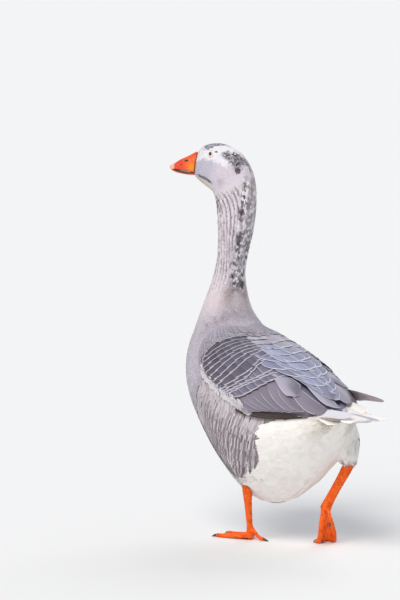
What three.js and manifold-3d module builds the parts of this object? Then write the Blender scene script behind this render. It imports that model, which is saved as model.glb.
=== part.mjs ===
// A domestic goose, life size, walking: left foot flat, right foot pushing off, head turned to its left.
// Millimetres, +Z up. The bird faces -Y and its left is +X. Places are given as forward, left, height,
// and forward means -Y.
import * as THREE from "three";
import { mergeVertices } from "three/addons/utils/BufferGeometryUtils.js";
import Module from "manifold-3d";

const wasm = await Module();
wasm.setup();

// ---- Driving dimensions ----
const GAP = 0.3; // clearance left wherever two pieces meet
const HEAD_TURN = 38; // degrees that the head is turned to the left
const NECK_AXIS = 106; // how far forward of the middle of the body the upright neck stands
const OUTLINE_MIDDLE = 66.2; // the origin, on the floor, is this far behind the middle of the body

// The body and neck, from the root of the tail to the root of the bill. back and belly are the forward place
// and height of the upper and lower outline, half is half the width, mid is how far down from the back the
// widest place lies, keel is the roundness below it, and turn is the share of HEAD_TURN reached there.
const BODY = [
  { back: [-246, 277], belly: [-246, 262], half: 22, mid: 0.5, keel: 2, turn: 0 }, // root of the tail
  { back: [-234, 283], belly: [-232, 236], half: 40, mid: 0.45, keel: 2, turn: 0 }, // under the tail coverts
  { back: [-212, 294], belly: [-204, 194], half: 64, mid: 0.42, keel: 1.8, turn: 0 }, // vent
  { back: [-180, 309], belly: [-166, 150], half: 90, mid: 0.42, keel: 1.7, turn: 0 }, // rump
  { back: [-145, 325], belly: [-118, 106], half: 110, mid: 0.42, keel: 1.65, turn: 0 },
  { back: [-105, 341], belly: [-60, 77], half: 123, mid: 0.43, keel: 1.62, turn: 0 }, // deepest of the belly
  { back: [-65, 356], belly: [0, 74], half: 129, mid: 0.42, keel: 1.6, turn: 0 }, // over the thighs
  { back: [-28, 368], belly: [50, 98], half: 130, mid: 0.4, keel: 1.58, turn: 0 },
  { back: [6, 379], belly: [96, 140], half: 127, mid: 0.4, keel: 1.6, turn: 0 }, // keel
  { back: [34, 390], belly: [142, 196], half: 121, mid: 0.42, keel: 1.65, turn: 0 },
  { back: [60, 405], belly: [178, 262], half: 107, mid: 0.46, keel: 1.75, turn: 0 }, // breast
  { back: [81, 424], belly: [197, 330], half: 84, mid: 0.5, keel: 1.9, turn: 0 },
  { back: [94, 452], belly: [192, 394], half: 59, mid: 0.5, keel: 2, turn: 0 }, // foot of the neck
  { back: [98, 486], belly: [176, 448], half: 44, mid: 0.5, keel: 2, turn: 0.02 },
  { back: [95, 520], belly: [154, 500], half: 32, mid: 0.5, keel: 2, turn: 0.08 }, // slimmest of the neck
  { back: [84, 556], belly: [141, 548], half: 30, mid: 0.5, keel: 2, turn: 0.2 },
  { back: [71, 600], belly: [138, 598], half: 33, mid: 0.5, keel: 2, turn: 0.45 },
  { back: [64, 646], belly: [141, 640], half: 34, mid: 0.5, keel: 2, turn: 0.75 },
  { back: [63, 690], belly: [147, 666], half: 32.5, mid: 0.5, keel: 2, turn: 0.95 }, // nape and throat
  { back: [71, 719], belly: [152, 675], half: 29.5, mid: 0.5, keel: 2, turn: 1 },
  { back: [87, 746], belly: [157, 679], half: 27.5, mid: 0.5, keel: 2, turn: 1 },
  { back: [109, 762], belly: [162, 682], half: 26, mid: 0.5, keel: 2, turn: 1 }, // hind crown and jaw
  { back: [132, 770], belly: [167, 686], half: 25, mid: 0.5, keel: 2, turn: 1 }, // crown
  { back: [155, 769], belly: [174, 691], half: 22.5, mid: 0.5, keel: 2, turn: 1 }, // forehead
  { back: [171, 763], belly: [182, 698], half: 18.5, mid: 0.52, keel: 2, turn: 1 },
  { back: [180, 752], belly: [188, 704], half: 14.6, mid: 0.55, keel: 2, turn: 1 }, // root of the bill
];
const UPPER_ROUNDNESS = 2.2; // exponent of the sections above the widest place: 2 is an ellipse
const BODY_SIDES = 24; // facets round the body
const BODY_RINGS = 50; // rings of facets along it
const CUTS = { breast: 11, neckFoot: 13.4, neckMiddle: 15.6, throat: 18 }; // stations where it is parted

// A wing where it lies on the body. Its upper and lower edges are given as a station of BODY and a share of
// the way round the body from the back; thick is how far its feathers stand off the body.
const WING = [
  { top: [10.2, 0.11], low: [10.1, 0.14], thick: 2 }, // bend of the wing
  { top: [9.8, 0.06], low: [9.4, 0.2], thick: 8 },
  { top: [9.0, 0.015], low: [8.3, 0.225], thick: 11 },
  { top: [7.6, 0.006], low: [6.8, 0.225], thick: 13 },
  { top: [6.2, 0.005], low: [5.3, 0.21], thick: 14 },
  { top: [4.8, 0.005], low: [4.1, 0.205], thick: 14 },
  { top: [3.4, 0.005], low: [3.1, 0.205], thick: 12 },
  { top: [2.2, 0.006], low: [2.1, 0.2], thick: 10 },
  { top: [1.1, 0.012], low: [1.3, 0.18], thick: 8 }, // ends of the inner flight feathers
  { top: [0.5, 0.04], low: [0.7, 0.14], thick: 3 },
];
const WING_SINK = 3; // how far the wing's inner face lies under the body's surface before it is trimmed
const WING_EDGE = 0.4; // how soon the wing reaches its full thickness in from its edges: less is sooner
const WING_SPREAD = 0.05; // share of its width that a grown wing widens by, for each millimetre grown
const WING_SIDES = 20;
const WING_RINGS = 16;

// Flight feathers closed behind each wing: forward, left, height, half across, half thick, roll in degrees.
const LEFT_TIP = [
  [-130, 92, 290, 22, 4, 62],
  [-185, 80, 286, 24, 5, 58],
  [-230, 62, 285, 23, 5.5, 50],
  [-275, 47, 285, 16, 4, 42],
  [-308, 38, 284, 8, 2.5, 36],
  [-322, 35, 284, 3, 1.5, 36],
];
const RIGHT_TIP = [
  [-130, -88, 298, 23, 4, -62],
  [-185, -74, 298, 25, 5, -58],
  [-235, -56, 300, 23, 5.5, -50],
  [-285, -42, 303, 15, 4, -42],
  [-328, -31, 304, 8, 2.5, -36],
  [-345, -27, 304, 3, 1.5, -36],
];
const TAIL = [
  [-196, 0, 275, 34, 12, 0],
  [-232, 0, 270, 43, 12, 0],
  [-266, 0, 265, 53, 8, 0],
  [-294, 0, 261, 60, 4, 0],
  [-308, 0, 259, 55, 2.4, 0],
  [-314, 0, 258, 34, 1.4, 0],
];
const TIP_SIDES = 14;
const TIP_RINGS = 10;

// Limbs: forward, left, height, half across, half thick, roll in degrees.
const LEFT_THIGH = [
  [-50, 84, 200, 38, 54, 0],
  [-39, 78, 166, 33, 44, 0],
  [-30, 70, 138, 25, 31, 0],
  [-25, 63, 119, 14, 17, 0], // feathers end above the hock
];
const RIGHT_THIGH = [
  [-130, -72, 222, 38, 54, 0],
  [-161, -72, 198, 31, 42, 0],
  [-182, -68, 173, 19, 25, 0],
  [-189, -65, 157, 12, 14, 0],
];
const LEFT_SHANK = [
  [-24, 62, 126, 9.5, 11, 0],
  [-23, 61, 108, 10, 12, 0], // hock
  [-16, 55, 84, 7.6, 9.4, 0],
  [-6, 45, 50, 6, 7.6, 0],
  [2, 37, 24, 6.4, 7.4, 0],
  [5, 34, 11, 8.5, 8.5, 0],
];
const RIGHT_SHANK = [
  [-190, -64, 172, 9.5, 11, 0],
  [-184, -62, 158, 10, 12, 0],
  [-171, -58, 136, 8.6, 11, 0],
  [-154, -51, 106, 8, 10.4, 0],
  [-141, -47, 84, 10, 11, 0],
  [-134, -45, 70, 12, 12, 0],
];
const LIMB_SIDES = 10;
const LIMB_RINGS = 9;

// Toes: forward, left, height, half across, half thick, roll. The last station is the root of the claw.
const LEFT_TOES = {
  inner: [
    [4, 31, 10, 6, 6.5, 0],
    [26, 14, 5.6, 5.2, 5.8, 0],
    [46, 1, 4.1, 4.6, 5, 0],
    [60, -8, 3.6, 3.6, 4.2, 0],
  ],
  middle: [
    [6, 34, 10, 7, 6.5, 0],
    [36, 34, 5.6, 5.6, 6, 0],
    [64, 32, 4.1, 4.8, 5, 0],
    [84, 31, 3.6, 3.6, 4.2, 0],
  ],
  outer: [
    [4, 38, 10, 6, 6.5, 0],
    [30, 50, 5.6, 5.2, 5.8, 0],
    [54, 61, 4.1, 4.6, 5, 0],
    [70, 68, 3.6, 3.4, 4.2, 0],
  ],
  hind: [
    [0, 36, 26, 4.5, 4.5, 0],
    [-9, 32, 16, 4.2, 4.4, 0],
    [-18, 28, 6, 3.6, 4, 0],
    [-26, 24, 3.9, 2.8, 4.1, 0],
  ],
};
const RIGHT_TOES = {
  inner: [
    [-133, -43, 66, 7, 7, 0],
    [-127, -42, 42, 5.4, 6, 0],
    [-121, -44, 19, 5, 5.4, 0],
    [-113, -46, 6, 4.8, 5.6, 0],
    [-100, -48, 3.6, 3.6, 4.2, 0],
  ],
  middle: [
    [-132, -46, 65, 8, 7, 0],
    [-123, -53, 40, 6, 6.4, 0],
    [-114, -59, 17, 5.4, 5.8, 0],
    [-105, -62, 5.6, 5, 5.6, 0],
    [-90, -65, 3.6, 3.6, 4.2, 0],
  ],
  outer: [
    [-134, -49, 66, 7, 7, 0],
    [-131, -62, 42, 5.4, 6, 0],
    [-126, -73, 19, 5, 5.4, 0],
    [-119, -79, 6, 4.8, 5.6, 0],
    [-106, -85, 3.6, 3.4, 4.2, 0],
  ],
  hind: [
    [-139, -46, 76, 4.5, 4.5, 0],
    [-150, -43, 66, 4.2, 4.2, 0],
    [-156, -41, 56, 3.6, 3.8, 0],
    [-157, -40, 47, 2.8, 3, 0],
  ],
};
const TOE_SIDES = 7;
const TOE_RINGS = 6;
const ANKLE = 24; // how far up the shank the foot is parted from it
const WEB_HALF_THICKNESS = 1.3;
const WEB_DROP = 3; // how far the middle of the web lies under the middles of the toes
const WEB_REACH = 0.93; // share of the toes' length that the web reaches
const WEB_SCALLOP = 0.16; // how much less it reaches midway between two toes
const WEB_SIDES = 6;
const WEB_RINGS = 6;

// A claw, as shares of its length and of the toe's half across and half thick, and the droop in millimetres.
const CLAW_LENGTH = 11;
const CLAW = [
  [0, 0.8, 0.8, 0],
  [0.35, 0.65, 0.68, 0],
  [0.7, 0.42, 0.45, 1.2],
  [1, 0.14, 0.18, 3.2],
];
const CLAW_SIDES = 6;
const CLAW_RINGS = 5;

// Bill, in the head's own line: forward, left, height, half across, half thick, roll.
const BILL = [
  [178, 0, 728.5, 14.8, 24.2, 0],
  [187, 0, 726.5, 14.4, 22, 0],
  [197, 0, 724.2, 13.5, 19.2, 0],
  [209, 0, 722.5, 12.4, 16.2, 0],
  [222, 0, 720.5, 11.2, 11.8, 0],
  [231, 0, 720, 9.4, 8, 0],
  [237, 0, 720, 6.4, 5, 0],
  [239.5, 0, 720, 2.6, 2.6, 0],
];
const BILL_SIDES = 16;
const BILL_RINGS = 10;
const GAPE = { back: [184, 711], front: [240, 718] }; // line where the mandibles meet: forward, height
const NAIL_START = 228; // where the nail of the upper mandible begins
const LOWER_END = 234; // where the lower mandible ends, short of the nail

const EYE = { forward: 150, height: 748, side: 16.2, radius: 7.6 }; // centre of each eyeball
const EYE_SIDES = 10;

const WHITE = 0xe6e2dc;
const GREY = 0xa9a4a8;
const WING_GREY = 0x6d6a72;
const FLIGHT_GREY = 0x57545c;
const ORANGE = 0xe2601c;
const NAIL_COLOUR = 0xe8c3b0;
const CLAW_COLOUR = 0x4a3a30;
const EYE_COLOUR = 0x1c1412;

// ---- Making solids ----
function place(forward, left, height) {
  return new THREE.Vector3(left, -forward, height);
}

// A place on the neck or head, turned about the neck by a share of the head's turn.
function turnedPlace(forward, left, height, share = 1) {
  const angle = THREE.MathUtils.degToRad(HEAD_TURN * share);
  const ahead = forward - NECK_AXIS;
  return place(
    NECK_AXIS + ahead * Math.cos(angle) - left * Math.sin(angle),
    left * Math.cos(angle) + ahead * Math.sin(angle),
    height,
  );
}

function solidOf(geometry) {
  const bare = geometry.clone();
  bare.deleteAttribute("normal");
  bare.deleteAttribute("uv");
  const merged = mergeVertices(bare, 1e-3);
  const mesh = new wasm.Mesh({
    numProp: 3,
    vertProperties: new Float32Array(merged.attributes.position.array),
    triVerts: new Uint32Array(merged.index.array),
  });
  return new wasm.Manifold(mesh);
}

// A closed solid whose surface is pointAt(around, along, end). around runs from 0 to 1 round a section, along
// runs from 0 to 1 over the sections, and end is true at the two places that close the ends.
function skinned(sides, rings, pointAt) {
  const ball = new THREE.SphereGeometry(1, sides, rings);
  const uv = ball.attributes.uv;
  for (let i = 0; i < uv.count; i++) {
    const ring = Math.round((1 - uv.getY(i)) * rings);
    const end = ring === 0 || ring === rings;
    const side = Math.round(uv.getX(i) * sides) % sides;
    const along = THREE.MathUtils.clamp((ring - 1) / (rings - 2), 0, 1);
    const p = pointAt(end ? 0 : side / sides, along, end);
    ball.attributes.position.setXYZ(i, p.x, p.y, p.z);
  }
  const solid = solidOf(ball);
  return solid.volume() > 0 ? solid : solidOf(insideOut(ball));
}

function insideOut(geometry) {
  const flipped = geometry.clone();
  const order = flipped.index.array;
  for (let i = 0; i < order.length; i += 3) {
    [order[i], order[i + 1]] = [order[i + 1], order[i]];
  }
  return flipped;
}

// Smooth values through a list of number rows, read at t from 0 to 1.
function smoothRows(rows) {
  const curveOf = (k) => new THREE.SplineCurve(rows.map((row, i) => new THREE.Vector2(i, row[k])));
  const curves = rows[0].map((_, k) => curveOf(k));
  return (t) => curves.map((curve) => curve.getPoint(t).y);
}

// A solid with oval sections along a path of stations: forward, left, height, half across, half thick, roll.
// across lies level and square to the path at roll 0. grow makes the solid larger all over.
function limb(stations, sides, rings, grow = 0, toPlace = place) {
  const at = smoothRows(stations);
  const step = 1e-3;
  return skinned(sides, rings, (around, along, end) => {
    const [forward, left, height, across, thick, roll] = at(along);
    const centre = toPlace(forward, left, height);
    const before = toPlace(...at(Math.max(along - step, 0)).slice(0, 3));
    const tangent = toPlace(...at(Math.min(along + step, 1)).slice(0, 3)).sub(before).normalize();
    if (end) {
      return centre.addScaledVector(tangent, along > 0.5 ? grow : -grow);
    }
    const reference = toPlace(forward, left + 1, height).sub(centre);
    const wide = reference.addScaledVector(tangent, -reference.dot(tangent)).normalize();
    wide.applyAxisAngle(tangent, THREE.MathUtils.degToRad(roll));
    const deep = tangent.clone().cross(wide);
    const angle = around * 2 * Math.PI;
    centre.addScaledVector(wide, Math.cos(angle) * (across + grow));
    return centre.addScaledVector(deep, Math.sin(angle) * (thick + grow));
  });
}

// The part of a solid on one side of a plane, half a gap short of it. facing points away from the part kept.
function keepBehind(solid, point, facing) {
  const reach = 2000; // larger than the goose
  const block = new THREE.BoxGeometry(reach, reach, reach).translate(0, 0, -reach / 2 - GAP / 2);
  const up = new THREE.Vector3(0, 0, 1);
  const turn = new THREE.Quaternion().setFromUnitVectors(up, facing.clone().normalize());
  block.applyQuaternion(turn).translate(point.x, point.y, point.z);
  return solid.intersect(solidOf(block));
}

// ---- Body, neck and head ----
const bodyRows = smoothRows(BODY.map((s) => [...s.back, ...s.belly, s.half, s.mid, s.keel, s.turn]));
const LAST_STATION = BODY.length - 1;

// A point of the body's surface. around runs once round from the back by the left, and station counts the
// rows of BODY.
function bodyPoint(around, station, swell = 0, end = false) {
  const row = bodyRows(station / LAST_STATION);
  const [backForward, backHeight, bellyForward, bellyHeight, half, mid, keel, turn] = row;
  const down = new THREE.Vector2(bellyForward - backForward, bellyHeight - backHeight);
  const depth = down.length();
  down.normalize();
  const angle = around * 2 * Math.PI;
  const upper = Math.cos(angle) > 0;
  const power = 2 / (upper ? UPPER_ROUNDNESS : keel);
  const side = Math.sign(Math.sin(angle)) * Math.abs(Math.sin(angle)) ** power;
  const rise = Math.sign(Math.cos(angle)) * Math.abs(Math.cos(angle)) ** power;
  const reach = upper ? depth * mid : depth * (1 - mid);
  const fall = end ? depth * mid : depth * mid - rise * (reach + swell);
  const left = end ? 0 : side * (half + swell);
  return turnedPlace(backForward + down.x * fall, left, backHeight + down.y * fall, turn);
}

function bodySolid(swell) {
  const pointAt = (around, along, end) => bodyPoint(around, along * LAST_STATION, swell, end);
  return skinned(BODY_SIDES, BODY_RINGS, pointAt);
}

const body = bodySolid(0);
const bodyClearance = bodySolid(GAP);

// The plane of a section of the body, as a point of it and the direction towards the bill.
function sectionPlane(station) {
  const top = bodyPoint(0, station);
  const left = bodyPoint(0.25, station).sub(top);
  const right = bodyPoint(0.75, station).sub(top);
  return { point: top, ahead: right.cross(left).normalize() };
}

function bodyBetween(from, to) {
  let part = body;
  if (to !== null) {
    const { point, ahead } = sectionPlane(to);
    part = keepBehind(part, point, ahead);
  }
  if (from !== null) {
    const { point, ahead } = sectionPlane(from);
    part = keepBehind(part, point, ahead.clone().negate());
  }
  return part;
}

const eyeballs = [1, -1].map((side) => {
  const centre = turnedPlace(EYE.forward, side * EYE.side, EYE.height);
  return (grow) => {
    const ball = new THREE.SphereGeometry(EYE.radius + grow, EYE_SIDES, EYE_SIDES);
    return solidOf(ball.translate(centre.x, centre.y, centre.z));
  };
});

const trunk = bodyBetween(null, CUTS.breast);
const neckLower = bodyBetween(CUTS.breast, CUTS.neckFoot);
const neckMiddle = bodyBetween(CUTS.neckFoot, CUTS.neckMiddle);
const neckUpper = bodyBetween(CUTS.neckMiddle, CUTS.throat);
const head = bodyBetween(CUTS.throat, null).subtract(eyeballs[0](GAP)).subtract(eyeballs[1](GAP));

// ---- Bill ----
const billRoot = sectionPlane(LAST_STATION);
billRoot.point.addScaledVector(billRoot.ahead, GAP / 2);
const wholeBill = limb(BILL, BILL_SIDES, BILL_RINGS, 0, turnedPlace);
const bill = keepBehind(wholeBill, billRoot.point, billRoot.ahead.clone().negate());
const gapePoint = turnedPlace(GAPE.back[0], 0, GAPE.back[1]);
const gapeAhead = turnedPlace(GAPE.front[0], 0, GAPE.front[1]).sub(gapePoint);
const billLeft = turnedPlace(GAPE.back[0], 1, GAPE.back[1]).sub(gapePoint);
const gapeUp = billLeft.clone().cross(gapeAhead).normalize();
gapeUp.multiplyScalar(Math.sign(gapeUp.z));
const headAhead = turnedPlace(NAIL_START + 1, 0, 0).sub(turnedPlace(NAIL_START, 0, 0));
const mandible = keepBehind(bill, gapePoint, gapeUp.clone().negate());
const nailPoint = turnedPlace(NAIL_START, 0, GAPE.front[1]);
const lowerEnd = turnedPlace(LOWER_END, 0, GAPE.front[1]);
const billUpper = keepBehind(mandible, nailPoint, headAhead);
const billNail = keepBehind(mandible, nailPoint, headAhead.clone().negate());
const billLower = keepBehind(keepBehind(bill, gapePoint, gapeUp), lowerEnd, headAhead);

// ---- Wings and tail ----
const wingRows = smoothRows(WING.map((s) => [...s.top, ...s.low, s.thick]));

// A wing wrapped on the body: half of each section is its outer face, the other half lies under the body.
function wingSolid(side, grow) {
  return skinned(WING_SIDES, WING_RINGS, (around, along, end) => {
    const [topStation, topRound, lowStation, lowRound, thick] = wingRows(along);
    const outer = around <= 0.5;
    const share = end ? 0.5 : outer ? around * 2 : 2 - around * 2;
    const edge = Math.sin(share * Math.PI) ** WING_EDGE;
    const spread = THREE.MathUtils.lerp(-grow * WING_SPREAD, 1 + grow * WING_SPREAD, share);
    const station = THREE.MathUtils.lerp(topStation, lowStation, spread);
    const round = THREE.MathUtils.lerp(topRound, lowRound, spread);
    const lift = outer ? (thick + WING_SINK) * edge - WING_SINK + grow : -WING_SINK - grow;
    return bodyPoint(side > 0 ? round : 1 - round, station, end ? -WING_SINK : lift);
  });
}

const tailClearance = limb(TAIL, TIP_SIDES, TIP_RINGS, GAP);
const tail = limb(TAIL, TIP_SIDES, TIP_RINGS).subtract(bodyClearance);
const wingLeft = wingSolid(1, 0).subtract(bodyClearance).subtract(tailClearance);
const wingRight = wingSolid(-1, 0).subtract(bodyClearance).subtract(tailClearance);

function tipSolid(stations, side) {
  const tip = limb(stations, TIP_SIDES, TIP_RINGS).subtract(bodyClearance);
  return tip.subtract(wingSolid(side, GAP)).subtract(tailClearance);
}

const tipLeft = tipSolid(LEFT_TIP, 1);
const tipRight = tipSolid(RIGHT_TIP, -1);

// ---- Legs and feet ----
const FLOOR = place(0, 0, -GAP / 2);
const DOWN = new THREE.Vector3(0, 0, -1);

function rowPlace(row) {
  return place(row[0], row[1], row[2]);
}

// The web between two toes: half of each section is its upper face and half its lower.
function webSolid(first, second) {
  const from = smoothRows(first);
  const to = smoothRows(second);
  return skinned(WEB_SIDES, WEB_RINGS, (around, along, end) => {
    const upper = around < 0.5;
    const share = end ? 0.5 : upper ? around * 2 : 2 - around * 2;
    const reach = along * (WEB_REACH - WEB_SCALLOP * Math.sin(share * Math.PI));
    const a = from(reach);
    const b = to(reach);
    const p = rowPlace(a.map((value, k) => THREE.MathUtils.lerp(value, b[k], share)));
    const edge = end || around === 0 || around === 0.5;
    p.z += (edge ? 0 : upper ? WEB_HALF_THICKNESS : -WEB_HALF_THICKNESS) - WEB_DROP;
    return p;
  });
}

function clawSolid(toe) {
  const root = rowPlace(toe.at(-1));
  const ahead = root.clone().sub(rowPlace(toe.at(-2))).normalize();
  const [across, thick] = toe.at(-1).slice(3);
  const rows = CLAW.map(([reach, wideShare, deepShare, droop]) => {
    const p = root.clone().addScaledVector(ahead, GAP + reach * CLAW_LENGTH);
    const deep = thick * deepShare;
    return [-p.y, p.x, Math.max(p.z - droop, deep), across * wideShare, deep, 0];
  });
  return keepBehind(limb(rows, CLAW_SIDES, CLAW_RINGS), FLOOR, DOWN);
}

// A thigh, a shank, a foot and its four claws. The sole is flat where it meets the floor.
function legPieces(thighRows, shankRows, toes) {
  const foot = rowPlace(shankRows.at(-1));
  const up = rowPlace(shankRows.at(-2)).sub(foot).normalize();
  const parting = foot.clone().addScaledVector(up, ANKLE);
  const whole = limb(shankRows, LIMB_SIDES, LIMB_RINGS);
  let sole = keepBehind(whole, parting, up);
  for (const toe of Object.values(toes)) {
    sole = sole.add(limb(toe, TOE_SIDES, TOE_RINGS));
  }
  sole = sole.add(webSolid(toes.inner, toes.middle)).add(webSolid(toes.middle, toes.outer));
  const shank = keepBehind(whole, parting, up.clone().negate());
  return {
    thigh: limb(thighRows, LIMB_SIDES, LIMB_RINGS).subtract(bodyClearance),
    shank: shank.subtract(limb(thighRows, LIMB_SIDES, LIMB_RINGS, GAP)).subtract(bodyClearance),
    foot: keepBehind(sole, FLOOR, DOWN),
    claws: Object.fromEntries(Object.entries(toes).map(([name, toe]) => [name, clawSolid(toe)])),
  };
}

// ---- The model ----
const goose = new THREE.Group();

function addPiece(name, solid, colour, roughness = 0.8) {
  const mesh = solid.getMesh();
  const geometry = new THREE.BufferGeometry();
  geometry.setAttribute("position", new THREE.BufferAttribute(mesh.vertProperties, 3));
  geometry.setIndex(new THREE.BufferAttribute(mesh.triVerts, 1));
  const piece = new THREE.Mesh(geometry, new THREE.MeshStandardMaterial({ color: colour, roughness }));
  piece.name = name;
  piece.position.y = -OUTLINE_MIDDLE;
  goose.add(piece);
}

addPiece("trunk", trunk, GREY);
addPiece("neck_lower", neckLower, GREY);
addPiece("neck_middle", neckMiddle, GREY);
addPiece("neck_upper", neckUpper, GREY);
addPiece("head", head, WHITE);
addPiece("bill_upper", billUpper, ORANGE, 0.45);
addPiece("bill_lower", billLower, ORANGE, 0.45);
addPiece("bill_nail", billNail, NAIL_COLOUR, 0.4);
addPiece("eye_left", eyeballs[0](0), EYE_COLOUR, 0.05);
addPiece("eye_right", eyeballs[1](0), EYE_COLOUR, 0.05);
addPiece("wing_left", wingLeft, WING_GREY);
addPiece("wing_right", wingRight, WING_GREY);
addPiece("wing_left_tip", tipLeft, FLIGHT_GREY);
addPiece("wing_right_tip", tipRight, FLIGHT_GREY);
addPiece("tail", tail, WHITE);
for (const [side, leg] of [
  ["left", legPieces(LEFT_THIGH, LEFT_SHANK, LEFT_TOES)],
  ["right", legPieces(RIGHT_THIGH, RIGHT_SHANK, RIGHT_TOES)],
]) {
  addPiece(`thigh_${side}`, leg.thigh, WHITE);
  addPiece(`shank_${side}`, leg.shank, ORANGE, 0.6);
  addPiece(`foot_${side}`, leg.foot, ORANGE, 0.6);
  for (const [name, claw] of Object.entries(leg.claws)) {
    addPiece(`claw_${side}_${name}`, claw, CLAW_COLOUR, 0.4);
  }
}

export default goose;
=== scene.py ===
import math

import bmesh
import bpy
import numpy as np
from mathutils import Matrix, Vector
from mathutils.bvhtree import BVHTree
from mathutils.kdtree import KDTree


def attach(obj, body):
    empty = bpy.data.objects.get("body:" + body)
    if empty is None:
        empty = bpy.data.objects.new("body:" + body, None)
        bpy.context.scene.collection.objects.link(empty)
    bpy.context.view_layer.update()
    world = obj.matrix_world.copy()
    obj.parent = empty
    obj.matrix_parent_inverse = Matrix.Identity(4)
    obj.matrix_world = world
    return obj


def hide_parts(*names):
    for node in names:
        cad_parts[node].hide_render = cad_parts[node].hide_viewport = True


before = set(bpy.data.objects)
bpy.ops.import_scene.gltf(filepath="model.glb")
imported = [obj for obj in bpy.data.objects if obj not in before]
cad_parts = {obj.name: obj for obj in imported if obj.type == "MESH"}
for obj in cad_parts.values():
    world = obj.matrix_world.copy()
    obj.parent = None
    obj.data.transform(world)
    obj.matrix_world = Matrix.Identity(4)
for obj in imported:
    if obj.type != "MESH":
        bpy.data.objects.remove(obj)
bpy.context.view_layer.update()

# ---- The form of the body ----
# A goose's trunk, neck and head are one run of flesh from the root of the tail to the root of the bill.
# Any place on it has a station along that run and a share of the way round it, from the back by the left.
MM = 0.001
HEAD_TURN = math.radians(38)
NECK_AXIS = 106
OUTLINE_MIDDLE = 66.2
UPPER_ROUNDNESS = 2.2
# Forward place and height of the back, then of the belly, half the width, how far down the widest place
# lies, the roundness below it, and the share of the head's turn, all in millimetres.
BODY = np.array([
    (-246, 277, -246, 262, 22, 0.5, 2, 0),  # root of the tail
    (-234, 283, -232, 236, 40, 0.45, 2, 0),
    (-212, 294, -204, 194, 64, 0.42, 1.8, 0),  # vent
    (-180, 309, -166, 150, 90, 0.42, 1.7, 0),
    (-145, 325, -118, 106, 110, 0.42, 1.65, 0),
    (-105, 341, -60, 77, 123, 0.43, 1.62, 0),
    (-65, 356, 0, 74, 129, 0.42, 1.6, 0),  # over the thighs
    (-28, 368, 50, 98, 130, 0.4, 1.58, 0),
    (6, 379, 96, 140, 127, 0.4, 1.6, 0),
    (34, 390, 142, 196, 121, 0.42, 1.65, 0),
    (60, 405, 178, 262, 107, 0.46, 1.75, 0),  # breast
    (81, 424, 197, 330, 84, 0.5, 1.9, 0),
    (94, 452, 192, 394, 59, 0.5, 2, 0),
    (98, 486, 176, 448, 44, 0.5, 2, 0.02),
    (95, 520, 154, 500, 32, 0.5, 2, 0.08),
    (84, 556, 141, 548, 30, 0.5, 2, 0.2),
    (71, 600, 138, 598, 33, 0.5, 2, 0.45),
    (64, 646, 141, 640, 34, 0.5, 2, 0.75),
    (63, 690, 147, 666, 32.5, 0.5, 2, 0.95),  # nape and throat
    (71, 719, 152, 675, 29.5, 0.5, 2, 1),
    (87, 746, 157, 679, 27.5, 0.5, 2, 1),
    (109, 762, 162, 682, 26, 0.5, 2, 1),
    (132, 770, 167, 686, 25, 0.5, 2, 1),  # crown
    (155, 769, 174, 691, 22.5, 0.5, 2, 1),
    (171, 763, 182, 698, 18.5, 0.52, 2, 1),
    (180, 752, 188, 704, 14.6, 0.55, 2, 1),  # root of the bill
], float)
LAST_STATION = len(BODY) - 1


def smooth_rows(rows, at):
    """Values read smoothly between a table's rows, at a row number that may be a fraction."""
    rows = np.asarray(rows, float)
    at = np.clip(np.asarray(at, float), 0, len(rows) - 1)
    low = at.astype(int)
    part = (at - low)[..., None]
    before, here = rows[np.maximum(low - 1, 0)], rows[low]
    there, after = (rows[np.minimum(low + k, len(rows) - 1)] for k in (1, 2))
    leave, arrive = (there - before) / 2, (after - here) / 2
    bend = 2 * here - 2 * there + leave + arrive
    return bend * part**3 + (3 * (there - here) - 2 * leave - arrive) * part**2 + leave * part + here


def turned(forward, left, height, turn):
    """A place on the neck or head in metres, turned about the upright neck by a share of the head's turn."""
    angle = HEAD_TURN * turn
    ahead = forward - NECK_AXIS
    y = NECK_AXIS + ahead * np.cos(angle) - left * np.sin(angle)
    x = left * np.cos(angle) + ahead * np.sin(angle)
    return np.stack([x, -y - OUTLINE_MIDDLE, height + 0 * x], -1) * MM


def body_point(around, station, swell=0.0):
    """The body's surface in metres, swollen by some millimetres."""
    row = np.moveaxis(smooth_rows(BODY, station), -1, 0)
    back_forward, back_height, belly_forward, belly_height, half, mid, keel, turn = row
    run, drop = belly_forward - back_forward, belly_height - back_height
    depth = np.hypot(run, drop)
    angle = np.asarray(around, float) * 2 * np.pi
    upper = np.cos(angle) > 0
    power = 2 / np.where(upper, UPPER_ROUNDNESS, keel)
    side = np.sign(np.sin(angle)) * np.abs(np.sin(angle)) ** power
    rise = np.sign(np.cos(angle)) * np.abs(np.cos(angle)) ** power
    reach = depth * np.where(upper, mid, 1 - mid)
    fall = (depth * mid - rise * (reach + swell)) / depth
    return turned(back_forward + run * fall, side * (half + swell), back_height + drop * fall, turn)


GRID_ROUND, GRID_ALONG = 200, 620
grid_round, grid_station = (
    g.ravel()
    for g in np.meshgrid(
        np.arange(GRID_ROUND) / GRID_ROUND, np.linspace(0, LAST_STATION, GRID_ALONG), indexing="ij"
    )
)
grid_place = body_point(grid_round, grid_station)
STEP = 0.004
grid_by_round = (body_point(grid_round + STEP, grid_station) - body_point(grid_round - STEP, grid_station)) / (2 * STEP)
ahead_of = np.minimum(grid_station + STEP, LAST_STATION)
behind_of = np.maximum(grid_station - STEP, 0)
grid_by_station = (body_point(grid_round, ahead_of) - body_point(grid_round, behind_of)) / (
    (ahead_of - behind_of)[:, None]
)
grid_tree = KDTree(len(grid_place))
for number, place in enumerate(grid_place):
    grid_tree.insert(place, number)
grid_tree.balance()


def dot(a, b):
    return np.einsum("...k,...k->...", a, b)


def unit(vectors):
    return vectors / np.maximum(np.linalg.norm(vectors, axis=-1, keepdims=True), 1e-12)


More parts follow.
